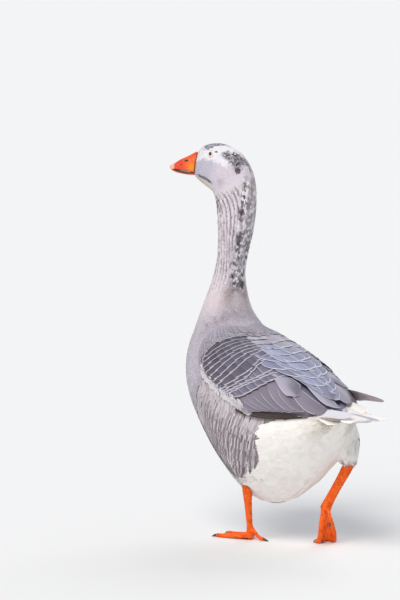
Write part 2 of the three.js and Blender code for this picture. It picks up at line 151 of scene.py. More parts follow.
def stations_of(places):
    """Share of the way round, station, and the direction in which feathers lie, for places on the body."""
    near = np.array([grid_tree.find(p)[1] for p in places])
    off = places - grid_place[near]
    a, b = grid_by_round[near], grid_by_station[near]
    aa, bb, ab = dot(a, a), dot(b, b), dot(a, b)
    oa, ob = dot(off, a), dot(off, b)
    whole = np.maximum(aa * bb - ab * ab, 1e-12)
    around = grid_round[near] + np.clip((oa * bb - ob * ab) / whole, -STEP, STEP)
    station = grid_station[near] + np.clip((ob * aa - oa * ab) / whole, -0.05, 0.05)
    return around % 1, np.clip(station, 0, LAST_STATION), -unit(b)


def rise(low, high, value):
    """0 below low and 1 above high, smoothly."""
    t = np.clip((value - low) / (high - low), 0, 1)
    return t * t * (3 - 2 * t)


def ripple(places, size, seed):
    """A smooth uneven field, about -1 to 1, whose waves are size metres long."""
    draw = np.random.default_rng(seed)
    total = 0
    for _ in range(9):
        way = unit(draw.normal(size=3)) * draw.uniform(0.6, 1.5) * 2 * np.pi / size
        total = total + np.sin(places @ way + draw.uniform(0, 2 * np.pi))
    return total / 3


# ---- Skin ----
# One skin covers the trunk, neck, head, wings and thighs. It lies under the coat by the coat's own depth,
# is gathered into furrows down the neck, and is thin and bare round the eye.
FLESH = ("trunk", "neck_lower", "neck_middle", "neck_upper", "head", "wing_left", "wing_right", "thigh_left", "thigh_right")
SKIN_VOXEL = 0.0026
COAT_DEPTH = [(0, 4), (3, 6.5), (9, 6.5), (12, 5), (14, 4), (17, 3.4), (19.5, 2.4), (22, 1.7), (25, 0.8)]
FURROWS = 28  # round the neck
FURROW_DEPTH = 1.5


def merged_copy(*names):
    """A mesh of one or more solids of the frame, with their loose triangles joined up."""
    form = bmesh.new()
    for name in names:
        form.from_mesh(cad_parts[name].data)
    bmesh.ops.remove_doubles(form, verts=form.verts, dist=1e-6)
    mesh = bpy.data.meshes.new("_".join(names[:1]))
    form.to_mesh(mesh)
    form.free()
    return mesh


def remeshed(mesh, voxel):
    """One closed even mesh round all the solids of a mesh."""
    carrier = bpy.data.objects.new("carrier", mesh)
    bpy.context.scene.collection.objects.link(carrier)
    grid = carrier.modifiers.new("grid", "REMESH")
    grid.mode, grid.voxel_size, grid.use_smooth_shade = "VOXEL", voxel, True
    seen = carrier.evaluated_get(bpy.context.evaluated_depsgraph_get())
    result = bpy.data.meshes.new_from_object(seen)
    bpy.data.objects.remove(carrier)
    return result


def points_of(mesh):
    flat = np.empty(len(mesh.vertices) * 3)
    mesh.vertices.foreach_get("co", flat)
    return flat.reshape(-1, 3)


def normals_of(mesh):
    flat = np.empty(len(mesh.vertices) * 3)
    mesh.vertex_normals.foreach_get("vector", flat)
    return flat.reshape(-1, 3)


def put_points(mesh, places):
    mesh.vertices.foreach_set("co", places.astype(np.float32).ravel())
    mesh.update()


def relax(mesh, times, share=0.5):
    """Evens a mesh by moving each point towards the middle of its neighbours."""
    ends = np.empty(len(mesh.edges) * 2, int)
    mesh.edges.foreach_get("vertices", ends)
    a, b = ends.reshape(-1, 2).T
    places = points_of(mesh)
    count = np.bincount(a, minlength=len(places)) + np.bincount(b, minlength=len(places))
    for _ in range(times):
        total = np.zeros_like(places)
        for k in range(3):
            total[:, k] = np.bincount(a, places[b, k], len(places)) + np.bincount(b, places[a, k], len(places))
        places = places + share * (total / count[:, None] - places)
    put_points(mesh, places)


def table_value(table, at):
    stations, values = zip(*table)
    return np.interp(at, stations, values)


def furrow_phase(around, station, places):
    """Ridges counted from the nape at places on the neck. They run towards the nape on their way down."""
    down = np.minimum(around, 1 - around)
    drift = np.interp(station, [12, 14, 16, 18.5], [-0.15, -0.1, 0, 0.16])
    return FURROWS * (down - drift) + 0.3 * ripple(places * (1, 1, 0.5), 0.07, 21)


def furrow_share(around, station):
    """How deep the furrows are: none on the nape, the throat's middle, the head and the foot of the neck."""
    down = np.minimum(around, 1 - around)
    edge = np.interp(station, [13, 14, 15.5, 18], [0.07, 0.09, 0.125, 0.18])
    along = rise(12.9, 14.4, station) * (1 - rise(17.9, 18.6, station))
    return along * rise(-0.01, 0.02, down - edge) * (1 - rise(0.42, 0.48, down))


def furrow(around, station, places):
    """Height of the neck's ridges and furrows, from -1 to 1."""
    return np.cos(2 * np.pi * furrow_phase(around, station, places)) * furrow_share(around, station)


skin_mesh = remeshed(merged_copy(*FLESH), SKIN_VOXEL)
relax(skin_mesh, 6)
skin_round, skin_station, _ = stations_of(points_of(skin_mesh))
depth = table_value(COAT_DEPTH, skin_station)
ridge = furrow(skin_round, skin_station, points_of(skin_mesh)) * FURROW_DEPTH
put_points(skin_mesh, points_of(skin_mesh) - normals_of(skin_mesh) * ((depth - ridge) * MM)[:, None])
relax(skin_mesh, 1)
skin = bpy.data.objects.new("skin", skin_mesh)
bpy.context.scene.collection.objects.link(skin)
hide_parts(*FLESH)
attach(skin, "root")
skin_tree = BVHTree.FromPolygons(
    [tuple(p) for p in points_of(skin_mesh)], [tuple(f.vertices) for f in skin_mesh.polygons]
)


# ---- Markings ----
# A grey-backed domestic goose: lavender-grey breast and face, white belly and eye patch, and a nape, crown
# and back mottled with dark feathers. Skin and coat take the same colours from here.
def srgb(red, green, blue):
    """A linear colour from everyday 0 to 255 values."""
    value = np.array([red, green, blue]) / 255
    return np.where(value <= 0.04045, value / 12.92, ((value + 0.055) / 1.055) ** 2.4)


LAVENDER = srgb(182, 175, 188)
NECK_PINK = srgb(216, 206, 214)
NECK_BEIGE = srgb(212, 192, 188)
CHEEK = srgb(192, 187, 202)
CHEEK_PINK = srgb(208, 198, 210)
FACE_WHITE = srgb(232, 230, 236)
NAPE_DARK = srgb(62, 52, 62)
NAPE_PALE = srgb(206, 198, 202)
CROWN_BLUE = srgb(92, 86, 110)
SMUDGE = srgb(140, 124, 132)
NAPE_BROWN = srgb(140, 116, 108)
FLANK = srgb(132, 120, 127)
BELLY_WHITE = srgb(247, 243, 239)
# Dun of the painted shadow beneath the tail.
UNDER_TAIL_SHADE = srgb(172, 160, 136)
BACK_BLUE = srgb(140, 140, 168)


def mix(base, other, share):
    return base + (other - base) * np.clip(share, 0, 1)[:, None]


def flank_edge(station):
    """Share of the way round at which the grey of the flank gives way to the white of the belly."""
    return np.interp(station, [3.9, 4.15, 4.5, 5, 6, 7, 7.6, 8.2], [0, 0.33, 0.345, 0.365, 0.375, 0.392, 0.45, 0.53])


def head_markings(colour, places, down, station):
    """Face and crown: white round the bill's root and the eye, a lavender cheek, and dark mottled patches."""
    fine = ripple(places, 0.007, 2)
    broken = ripple(places, 0.004, 4)
    colour = mix(colour, CHEEK_PINK, rise(18.2, 19.4, station))
    colour = mix(colour, CHEEK, rise(21.0, 22.2, station) * rise(0.19, 0.23, down))
    colour = mix(colour, SMUDGE, 0.4 * np.exp(-(((station - 19.8) / 0.5) ** 2) - (((down - 0.31) / 0.035) ** 2)))
    white = rise(20.2, 20.8, station) * (1 - rise(0.205, 0.235, down + 0.008 * fine))
    colour = mix(colour, FACE_WHITE, white)
    edge = np.interp(station, [21.3, 21.9, 22.5, 22.7, 23.2, 23.7, 24.0], [0, 0.054, 0.086, 0.116, 0.13, 0.11, 0.0])
    crown = (1 - rise(-0.012, 0.012, down - edge + 0.01 * fine)) * rise(21.3, 21.6, station)
    colour = mix(colour, CROWN_BLUE, crown * np.clip(0.7 + 0.35 * broken, 0.1, 1))
    top = np.interp(station, [19.5, 19.9, 20.35, 20.74, 21.35, 21.7], [0.005, 0.022, 0.048, 0.076, 0.112, 0.15])
    low = np.interp(station, [19.6, 20.1, 20.6, 21.3, 21.7], [0.17, 0.172, 0.168, 0.162, 0.152])
    patch = rise(-0.018, 0.012, down - top + 0.01 * fine) * (1 - rise(-0.012, 0.02, down - low + 0.01 * fine))
    patch = patch * rise(19.45, 19.75, station + 0.1 * fine) * (1 - rise(21.55, 21.8, station))
    colour = mix(colour, NAPE_DARK, patch * np.clip(0.78 + 0.24 * broken + 0.16 * fine, 0.35, 1))
    spot = 1 - rise(0.7, 1.15, ((station - 19.6) / 0.3) ** 2 + ((down - 0.162) / 0.026) ** 2)
    colour = mix(colour, NAPE_DARK, 0.95 * spot)
    line = 1 - rise(0.6, 1.2, ((station - 19.4) / 0.45) ** 2 + ((down - 0.028 - 0.02 * (station - 19.4)) / 0.012) ** 2)
    colour = mix(colour, NAPE_DARK, 0.85 * line)
    behind_eye = 1 - rise(0.5, 1.2, ((station - 22.18) / 0.15) ** 2 + ((down - 0.15) / 0.01) ** 2)
    colour = mix(colour, NAPE_DARK, 0.9 * behind_eye)
    chin = rise(19.8, 21, station) * rise(0.378, 0.392, down)
    colour = mix(colour, srgb(212, 202, 190), chin)
    jaw = rise(20.5, 21.1, station) * (1 - rise(0.008, 0.017, np.abs(down - 0.366))) * (1 - rise(23.6, 24, station))
    return mix(colour, NAPE_DARK, 0.85 * jaw)


def neck_markings(colour, places, down, station):
    """A pale neck whose nape is flecked with dark feathers, browner towards its foot."""
    uneven = ripple(places, 0.05, 1)
    fleck = ripple(places, 0.0085, 5) + 0.45 * ripple(places, 0.03, 6)
    colour = mix(colour, NECK_PINK, rise(11.6, 13.2, station))
    beige = np.exp(-(((station - 12.9) / 0.7) ** 2) - (((down - 0.16) / 0.1) ** 2))
    colour = mix(colour, NECK_BEIGE, 0.35 * beige)
    brown = np.exp(-(((station - 12.9) / 0.75) ** 2) - (((down - 0.055) / 0.045) ** 2))
    colour = mix(colour, NAPE_BROWN, 0.65 * brown)
    streaky = 0.75 + 0.25 * ripple(places * (1, 1, 2), 0.02, 8)
    band = np.exp(-(((station - 11.85 + 2.6 * down) / 0.42) ** 2)) * (1 - rise(0.15, 0.24, down))
    colour = mix(colour, SMUDGE, 0.68 * band * np.clip(streaky, 0.3, 1))
    edge = np.interp(station, [12.8, 14, 15.5, 17, 18.6], [0.05, 0.078, 0.115, 0.17, 0.165])
    nape = rise(12.9, 13.4, station) * (1 - rise(19.1, 19.6, station)) * (1 - rise(-0.02, 0.015, down - edge + 0.01 * uneven))
    colour = mix(colour, NAPE_PALE, 0.75 * nape)
    border = 0.35 + 0.65 * np.exp(-(((down - edge + 0.03) / 0.035) ** 2))
    colour = mix(colour, NAPE_DARK, nape * rise(-0.5, 1.3, fleck + 0.5 * border) * (0.45 + 0.5 * border))
    colour = mix(colour, FACE_WHITE, nape * 0.8 * rise(0.1, 0.9, -fleck))
    cluster = 1 - rise(0.5, 1.2, ((station - 17.1) / 0.28) ** 2 + ((down - 0.145) / 0.045) ** 2)
    return mix(colour, NAPE_DARK, 0.6 * cluster * rise(-0.8, 0.4, fleck))


def markings(places, around, station):
    """The plumage's colour at places on the body."""
    down = np.where(around > 0.5, 1 - around, around)
    uneven = ripple(places, 0.05, 1)
    colour = np.repeat(LAVENDER[None], len(places), 0)
    flank = rise(0.16, 0.2, down) * (1 - rise(8.3, 9.6, station)) * (1 - rise(0.39, 0.46, down))
    colour = mix(colour, FLANK, flank)
    colour = mix(colour, BACK_BLUE, (1 - rise(0.12, 0.2, down)) * (1 - rise(5.8, 7.6, station)))
    edge = flank_edge(station)
    hold = np.interp(station, [4.2, 4.8], [0.195, 0.14])
    white = rise(-0.012, 0.012, down - edge + 0.006 * uneven) * rise(hold, hold + 0.03, down)
    white = np.maximum(white, (1 - rise(3.95, 4.25, station + 0.08 * uneven)) * rise(0.2, 0.225, down))
    colour = mix(colour, BELLY_WHITE, white)
    # A painted dun shadow on the underside beneath the tail.
    tail_shadow = (1 - rise(0.9, 3.2, station)) * rise(0.19, 0.24, down) * (1 - rise(0.34, 0.45, down))
    colour = mix(colour, UNDER_TAIL_SHADE, 0.8 * tail_shadow)
    colour = neck_markings(colour, places, down, station)
    return head_markings(colour, places, down, station)


def paint(mesh, name, colours):
    """Stores one colour for each point of a mesh."""
    layer = mesh.color_attributes.new(name, "FLOAT_COLOR", "POINT")
    full = np.ones((len(colours), 4), np.float32)
    full[:, : colours.shape[1]] = colours
    layer.data.foreach_set("color", full.ravel())


paint(skin_mesh, "Plumage", markings(points_of(skin_mesh), skin_round, skin_station) * 0.8)


def new_material(name, roughness, **sockets):
    """A material with one Principled shader, as its nodes, its links and the shader."""
    material = bpy.data.materials.new(name)
    material.use_nodes = True
    nodes, links = material.node_tree.nodes, material.node_tree.links
    shader = nodes["Principled BSDF"]
    shader.inputs["Roughness"].default_value = roughness
    for socket, value in sockets.items():
        shader.inputs[socket.replace("_", " ")].default_value = value
    return material, nodes, links, shader


material, nodes, links, shader = new_material("skin_under_coat", 0.85)
tint = nodes.new("ShaderNodeAttribute")
tint.attribute_name = "Plumage"
links.new(tint.outputs["Color"], shader.inputs["Base Color"])
skin_mesh.materials.clear()
skin_mesh.materials.append(material)

# ---- Feathers ----
# Each contour feather is a thin cambered vane on a fine shaft, rooted in the skin and lying back along it.
# Its outline is given as shares of its length and width, and its outer edge and tip carry a paler fringe.
VANE = [(0.0, 0.3), (0.3, 0.82), (0.62, 1.0), (0.86, 0.8)]
VANE_THICK = 0.00045


def vanes(name, spine, across, up, width, colour, fringe, outline=VANE, columns=3, camber=0.14, unwrap=None, patch=0.003, tilt=0.0, roundness=0.3, grade=None):
    """Joined closed vanes. spine is feathers by stations by 3 with the tip last, across and up match it."""
    count, rows = spine.shape[0], spine.shape[1] - 1
    shares = np.array([w for _, w in outline])
    lateral = np.linspace(-1, 1, columns)
    half = width[:, None] / 2 * shares[None]
    edge = 1 - lateral**2
    top = (
        spine[:, :rows, None]
        + across[:, :rows, None] * (half[..., None] * lateral)[..., None]
        + up[:, :rows, None]
        * ((edge - 1) * camber * half[..., None] + edge * VANE_THICK / 2 + lateral * np.reshape(tilt, (-1, 1, 1)))[..., None]
    )
    bottom = top - up[:, :rows, None] * (edge * VANE_THICK)[..., None]
    ring = np.concatenate([top, bottom[:, :, -2:0:-1]], 2)
    size = ring.shape[2]
    tip = spine[:, -1:]
    places = np.concatenate([ring.reshape(count, -1, 3), tip], 1)
    per = places.shape[1]
    side = np.arange(size)
    after = (side + 1) % size
    quads = np.concatenate(
        [np.stack([r * size + side, r * size + after, (r + 1) * size + after, (r + 1) * size + side], -1) for r in range(rows - 1)]
    )
    fan = np.stack([(rows - 1) * size + side, (rows - 1) * size + after, np.full(size, rows * size)], -1)
    root = side[::-1]
    loops = np.concatenate([quads.ravel(), fan.ravel(), root])
    lengths = np.concatenate([np.full(len(quads), 4), np.full(len(fan), 3), [size]])
    all_loops = (loops[None] + per * np.arange(count)[:, None]).ravel()
    all_lengths = np.tile(lengths, count)
    mesh = bpy.data.meshes.new(name)
    mesh.vertices.add(count * per)
    mesh.vertices.foreach_set("co", places.astype(np.float32).ravel())
    mesh.loops.add(len(all_loops))
    mesh.loops.foreach_set("vertex_index", all_loops.astype(np.int32))
    mesh.polygons.add(len(all_lengths))
    mesh.polygons.foreach_set("loop_start", np.concatenate([[0], np.cumsum(all_lengths)[:-1]]).astype(np.int32))
    mesh.update(calc_edges=True)
    mesh.polygons.foreach_set("use_smooth", np.ones(len(all_lengths), bool))
    along = np.array([v for v, _ in outline])
    u = np.concatenate([lateral, lateral[-2:0:-1]])
    vane_u = np.concatenate([np.tile(u, rows), [0]]) * 0.5 + 0.5
    vane_v = np.concatenate([np.repeat(along, size), [1]])
    vane = np.stack([vane_u, vane_v], -1)
    per_loop = np.tile(vane[loops], (count, 1))
    mesh.uv_layers.new(name="Vane").data.foreach_set("uv", per_loop.astype(np.float32).ravel())
    if unwrap is None:
        unwrap = np.random.default_rng(3).random((count, 2))
    baked = unwrap[:, None] * (1 - patch) + vane[loops][None] * patch
    mesh.uv_layers.new(name="OFBake").data.foreach_set("uv", baked.reshape(-1, 2).astype(np.float32).ravel())
    tone = np.repeat(np.concatenate([colour, fringe[:, None]], 1), per, 0)
    paint(mesh, "Plumage", tone if grade is None else grade(tone, places.reshape(-1, 3)))
    level = np.concatenate([np.repeat(np.arange(rows), size), [rows]])[loops]
    lean = np.concatenate([np.tile(u, rows), [0]])[loops] * roundness
    faces = np.concatenate([np.where(side < columns - 1, 1, -1)] * rows)
    sign = np.concatenate([np.repeat(faces[: len(quads)], 4), np.repeat(faces[len(quads) :], 3), np.full(size, -1)])
    facing = up[:, level] * sign[None, :, None] + across[:, level] * lean[None, :, None]
    mesh.normals_split_custom_set(unit(facing).reshape(-1, 3).astype(np.float32))
    return mesh


def vane_group():
    """Fine barbs either side of a shaft, and the fringe's share, from a feather's own Vane map."""
    group = bpy.data.node_groups.new("vane_detail", "ShaderNodeTree")
    for label, kind, way in (
        ("Fringe width", "NodeSocketFloat", "INPUT"),
        ("Fringe side", "NodeSocketFloat", "INPUT"),
        ("Barbs", "NodeSocketFloat", "INPUT"),
        ("Fringe", "NodeSocketFloat", "OUTPUT"),
        ("Shaft", "NodeSocketFloat", "OUTPUT"),
        ("Barb", "NodeSocketFloat", "OUTPUT"),
    ):
        group.interface.new_socket(label, in_out=way, socket_type=kind)
    nodes, links = group.nodes, group.links
    given, out = nodes.new("NodeGroupInput"), nodes.new("NodeGroupOutput")
    map_node = nodes.new("ShaderNodeUVMap")
    map_node.uv_map = "Vane"
    split = nodes.new("ShaderNodeSeparateXYZ")
    links.new(map_node.outputs["UV"], split.inputs["Vector"])

    def sum_of(operation, first, second=None, third=None):
        node = nodes.new("ShaderNodeMath")
        node.operation = operation
        for socket, value in zip(node.inputs, (first, second, third)):
            if isinstance(value, (int, float)):
                socket.default_value = value
            elif value is not None:
                links.new(value, socket)
        return node.outputs[0]

    def ramp(value, low, high):
        node = nodes.new("ShaderNodeMapRange")
        node.interpolation_type = "SMOOTHSTEP"
        links.new(value, node.inputs["Value"])
        for socket, bound in (("From Min", low), ("From Max", high)):
            if isinstance(bound, (int, float)):
                node.inputs[socket].default_value = bound
            else:
                links.new(bound, node.inputs[socket])
        return node.outputs["Result"]

    u, v = split.outputs["X"], split.outputs["Y"]
    side = sum_of("ABSOLUTE", sum_of("MULTIPLY_ADD", u, 2, -1))
    start = sum_of("SUBTRACT", 1, given.outputs["Fringe width"])
    tip = ramp(v, start, sum_of("ADD", start, 0.05))
    edge_start = sum_of("SUBTRACT", 1, given.outputs["Fringe side"])
    edge = sum_of("MULTIPLY", ramp(side, edge_start, sum_of("ADD", edge_start, 0.12)), ramp(v, 0.2, 0.5))
    links.new(sum_of("MAXIMUM", tip, edge), out.inputs["Fringe"])
    links.new(sum_of("SUBTRACT", 1, ramp(side, 0.02, 0.1)), out.inputs["Shaft"])
    slope = sum_of("ADD", sum_of("MULTIPLY", v, given.outputs["Barbs"]), sum_of("MULTIPLY", side, -12))
    links.new(sum_of("MULTIPLY_ADD", sum_of("SINE", sum_of("MULTIPLY", slope, 6.2832)), 0.5, 0.5), out.inputs["Barb"])
    return group


VANE_DETAIL = vane_group()


def plumage_material(name, fringe_colour, fringe_width, fringe_side, barbs, roughness=0.72, barb_depth=0.12, shaft=0.25):
    """Keratin barbs with a soft sheen. The colour comes from the feather, with its fringe paler and its shaft raised in
    relief.
    """
    material, nodes, links, shader = new_material(name, roughness, Sheen_Weight=0.12, Sheen_Roughness=0.5, Specular_IOR_Level=0.3)
    detail = nodes.new("ShaderNodeGroup")
    detail.node_tree = VANE_DETAIL
    for label, value in (("Fringe width", fringe_width), ("Fringe side", fringe_side), ("Barbs", barbs)):
        detail.inputs[label].default_value = value
    tint = nodes.new("ShaderNodeAttribute")
    tint.attribute_name = "Plumage"
    strength = nodes.new("ShaderNodeMath")
    strength.operation = "MULTIPLY"
    links.new(detail.outputs["Fringe"], strength.inputs[0])
    links.new(tint.outputs["Alpha"], strength.inputs[1])
    fringe = nodes.new("ShaderNodeMix")
    fringe.data_type = "RGBA"
    fringe.inputs["B"].default_value = (*fringe_colour, 1)
    for a, b in ((strength.outputs[0], fringe.inputs["Factor"]), (tint.outputs["Color"], fringe.inputs["A"])):
        links.new(a, b)
    lined = nodes.new("ShaderNodeMix")
    lined.data_type, lined.blend_type = "RGBA", "MULTIPLY"
    shade = nodes.new("ShaderNodeMapRange")
    shade.inputs["To Min"].default_value = 1 - barb_depth
    links.new(detail.outputs["Barb"], shade.inputs["Value"])
    lined.inputs["Factor"].default_value = 1
    links.new(fringe.outputs["Result"], lined.inputs["A"])
    links.new(shade.outputs["Result"], lined.inputs["B"])
    links.new(lined.outputs["Result"], shader.inputs["Base Color"])
    bump = nodes.new("ShaderNodeBump")
    bump.inputs["Strength"].default_value = 0.25
    bump.inputs["Distance"].default_value = 0.0003
    relief = nodes.new("ShaderNodeMath")
    relief.operation = "MULTIPLY_ADD"
    relief.inputs[1].default_value = shaft * 4
    links.new(detail.outputs["Shaft"], relief.inputs[0])
    links.new(detail.outputs["Barb"], relief.inputs[2])
    links.new(relief.outputs[0], bump.inputs["Height"])
    links.new(bump.outputs["Normal"], shader.inputs["Normal"])
    return material


def nearest_skin(places):
    found = [skin_tree.find_nearest(p) for p in places]
    return np.array([f[0] for f in found]), np.array([f[1] for f in found]), np.array([f[3] for f in found])


def lie_of(places, normals, flow, hang):
    """The way feathers point: back along the body, with a share that hangs straight down."""
    way = unit(flow * (1 - hang)[:, None] + np.array([0, 0.0, -1]) * hang[:, None])
    return unit(way - normals * dot(way, normals)[:, None])


def scatter(first, last, row_mm, gap_mm, seed, keep=None, swell=0.0):
    """Roots in staggered rows round the body between two stations, with the row and gap in millimetres."""
    draw = np.random.default_rng(seed)
    rounds, stations = [], []
    at, row = last, 0
    while at > first:
        ring = body_point(np.linspace(0, 1, 97), at, swell)
        girth = np.linalg.norm(np.diff(ring, axis=0), axis=1)
        reach = np.concatenate([[0], np.cumsum(girth)])
        count = max(6, int(reach[-1] / MM / (gap_mm(at) if callable(gap_mm) else gap_mm)))
        shift = (np.arange(count) + 0.5 * (row % 2) + draw.uniform(-0.22, 0.22, count)) % count / count
        rounds.append(np.interp(shift * reach[-1], reach, np.linspace(0, 1, 97)))
        pace = np.linalg.norm(body_point(0.25, at + 0.1) - body_point(0.25, at - 0.1)) / MM / 0.2
        step = (row_mm(at) if callable(row_mm) else row_mm) / pace
        stations.append(at + draw.uniform(-0.3, 0.3, count) * step)
        at -= step
        row += 1
    around, station = np.concatenate(rounds), np.clip(np.concatenate(stations), first, last)
    if keep is not None:
        kept = keep(np.where(around > 0.5, 1 - around, around), station, around)
        around, station = around[kept], station[kept]
    return around, station


def coat(name, around, station, length, width, lift, fringe, material, seed, hang=None, tint=None, splay=0.12, sunk=None, furrowed=False, outline=VANE, camber=0.06, settle=0.55, flow_way=None, roundness=0.3, aim=None, uneven=(0.7, 1.25), veer=None, grade=None):
    """Contour feathers over the skin, rooted at stations of the body. lift is how high their tips stand."""
    draw = np.random.default_rng(seed)
    aim = body_point(around, station) if aim is None else aim
    root, normal, far = nearest_skin(aim)
    kept = far < (0.012 if sunk is None else sunk)
    around, station, root, normal = around[kept], station[kept], root[kept], normal[kept]
    down = np.where(around > 0.5, 1 - around, around)
    size = lambda value: value(down, station) if callable(value) else np.full(len(down), float(value))
    flow_at = lambda at: stations_of(at)[2] if flow_way is None else np.repeat([flow_way], len(at), 0)
    long, wide, high = size(length) * MM, size(width) * MM, size(lift) * MM
    long = long * draw.uniform(0.85, 1.15, len(long))
    wide = wide * draw.uniform(0.88, 1.12, len(wide))
    high = high * draw.uniform(*uneven, len(high))
    hanging = size(hang) if hang is not None else np.zeros(len(down))
    turn = draw.normal(0, splay, len(down)) + (0 if veer is None else veer(around, station))
    shares = [v for v, _ in outline] + [1.0]
    spots, ways, ups = [], [], []
    place, step_from = root.copy(), 0.0
    for number, share in enumerate(shares):
        if number:
            flow = flow_at(place)
            way = lie_of(place, normal, flow, hanging)
            sideways = np.cross(normal, way)
            way = unit(way * np.cos(turn)[:, None] + sideways * np.sin(turn)[:, None])
            place, normal, _ = nearest_skin(place + way * (long * (share - step_from))[:, None])
            step_from = share
        else:
            flow = flow_at(place)
            way = lie_of(place, normal, flow, hanging)
            sideways = np.cross(normal, way)
            way = unit(way * np.cos(turn)[:, None] + sideways * np.sin(turn)[:, None])
        height = high * (settle + (1 - settle) * share**0.8)
        if furrowed:
            ar, st, _ = stations_of(place)
            height = height + furrow(ar, st, place) * FURROW_DEPTH * 0.5 * MM
        spots.append(place + normal * height[:, None])
        ways.append(way)
        ups.append(normal)
    spine = np.stack(spots, 1)
    up = np.stack(ups, 1)
    along = unit(np.gradient(spine, axis=1))
    across = unit(np.cross(along, up))
    up = unit(np.cross(across, along))
    colour = markings(root, around, station)
    fringed = size(fringe)
    if tint is not None:
        colour, fringed = tint(colour, fringed, root, around, station, draw)
    colour = np.clip(colour * draw.uniform(0.93, 1.05, len(colour))[:, None], 0, 1)
    unwrap = np.stack([around, (station - station.min()) / max(np.ptp(station), 1e-6)], -1)
    mesh = vanes(name, spine, across, up, wide, colour, fringed, outline=outline, camber=camber, unwrap=unwrap, roundness=roundness, grade=grade)
    mesh.materials.append(material)
    piece = bpy.data.objects.new(name, mesh)
    bpy.context.scene.collection.objects.link(piece)
    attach(piece, "root")
    return piece


# ---- Coat of the head ----
# The face is covered by the smallest feathers of all, a short velvet that lies back from the bill.
small = plumage_material("velvet_plumage", srgb(226, 222, 228), 0.2, 0.15, 20, barb_depth=0.08)
eye_middles = [turned(151.6, side * 19, 749, 1) for side in (1, -1)]


def off_the_eye(places):
    """True where a feather's root stands clear of the bare lids."""
    return np.min([np.linalg.norm(places - middle, axis=1) for middle in eye_middles], 0) > 0.0074


around, station = scatter(18.5, 24.95, 2.3, 2.2, 41)
clear = off_the_eye(body_point(around, station))
coat(
    "coat_head", around[clear], station[clear],
    length=lambda d, s: np.interp(s, [18.7, 21, 23, 25], [10, 7, 4.6, 3.2]),
    width=lambda d, s: np.interp(s, [18.7, 21, 23, 25], [4.6, 3.6, 2.8, 2.3]),
    lift=lambda d, s: np.interp(s, [18.7, 21, 25], [2.2, 1.5, 0.7]),
    fringe=0.2, material=small, seed=42,
)


# ---- Coat of the neck ----
# The neck's feathers stand in long ridges with furrows between, and mottle the nape. Painted shade darkens the furrows
# and a painted highlight pales the crests.
RIDGE_HOLD = 0.7  # how closely a feather's root keeps to the crest of its ridge
NECK_VEER = math.radians(17)


# Colours of the painted shade in the neck's furrows and of the painted highlight on its crests.
FURROW_SHADE, CREST_HIGHLIGHT = srgb(86, 72, 86), srgb(226, 217, 222)


def furrow_shade_and_highlight(tone, places):
    """Paints shade on the parts of feathers that dip into a furrow and a highlight on those along a crest."""
    around, station, _ = stations_of(places)
    crest, share = np.cos(2 * np.pi * furrow_phase(around, station, places)), furrow_share(around, station)
    broken = 0.65 + 0.35 * ripple(places * (1, 1, 0.4), 0.02, 23)
    tone[:, :3] = mix(tone[:, :3], CREST_HIGHLIGHT, 0.5 * share * rise(0, 1, crest))
    tone[:, :3] = mix(tone[:, :3], FURROW_SHADE, np.clip(broken, 0.2, 1) * share * rise(0.35, 1, -crest))
    return tone


def onto_ridges(around, station):
    """Moves roots round the neck towards the crests of the ridges."""
    down = np.minimum(around, 1 - around)
    phase = furrow_phase(around, station, body_point(around, station))
    down = down - RIDGE_HOLD * furrow_share(around, station) * (phase - np.round(phase)) / FURROWS
    return np.where(around > 0.5, 1 - down, down)


ridged = plumage_material("neck_plumage", srgb(232, 226, 230), 0.1, 0.1, 16, barb_depth=0.08)
around, station = scatter(12.4, 18.9, 3.2, 3.4, 43)
around = onto_ridges(around, station)
coat(
    "coat_neck", around, station, length=14,
    width=lambda d, s: 4.6 + 1.2 * furrow_share(d, s),
    lift=lambda d, s: np.interp(s, [12.6, 15, 18.9], [4.2, 3.4, 2.4]) + 3.4 * (1 - rise(0.07, 0.15, d)) * rise(12.6, 13.8, s) * (1 - rise(16, 18.6, s)),
    fringe=0.15, material=ridged, seed=44, grade=furrow_shade_and_highlight, furrowed=True, splay=0.05,
    veer=lambda a, s: np.where(a > 0.5, -NECK_VEER, NECK_VEER) * furrow_share(a, s), uneven=(0.9, 1.1),
)

# ---- Coat of the breast and the foot of the neck ----
# Dense soft feathers, all but edgeless, sweep down and back over the breast.
soft = plumage_material("breast_plumage", srgb(214, 207, 214), 0.14, 0.2, 26, barb_depth=0.07)
around, station = scatter(
    4.6, 12.8, 5.6, 6.4, 45, keep=lambda d, s, a: (s > 8.9) | ((d > 0.37) & (d < flank_edge(s) + 0.01))
)
coat(
    "coat_breast", around, station,
    length=lambda d, s: np.interp(s, [8, 11, 12.8], [27, 22, 15]),
    width=lambda d, s: np.interp(s, [8, 11, 12.8], [14, 11.5, 7]),
    lift=lambda d, s: np.interp(s, [8, 11, 12.8], [5.4, 4.8, 4.2]),
    fringe=0.5, material=soft, seed=46, uneven=(0.92, 1.06), settle=0.78, roundness=0.12, camber=0.03,
)


# ---- Coat of the flanks ----
# Long brown-grey feathers with cream margins hang down the side in columns, and make its upright streaks.
# The last of them, along the white of the belly, are spotted darker.
COLUMN_GAP, COLUMN_ROW = 12.0, 8.0
COLUMN_LEAN = -0.42  # how far back a column runs for each millimetre down
FLANK_SPOT = srgb(84, 70, 68)


def side_places(side):
    """Skin places in upright columns on one side of the body."""
    hits = []
    for column in np.arange(-270, 190, COLUMN_GAP):
        for drop in np.arange(0, 300, COLUMN_ROW):
            forward = column - COLUMN_LEAN * drop
            wander = 2.6 * math.sin(column * 1.7 + drop / 31)
            start = (side * 0.3, (-forward - wander - OUTLINE_MIDDLE) * MM, (352 - drop) * MM)
            hit = skin_tree.ray_cast(start, (-side, 0, 0))[0]
            if hit is not None and hit[0] * side > 0.02:
                hits.append(tuple(hit))
    return np.array(hits)


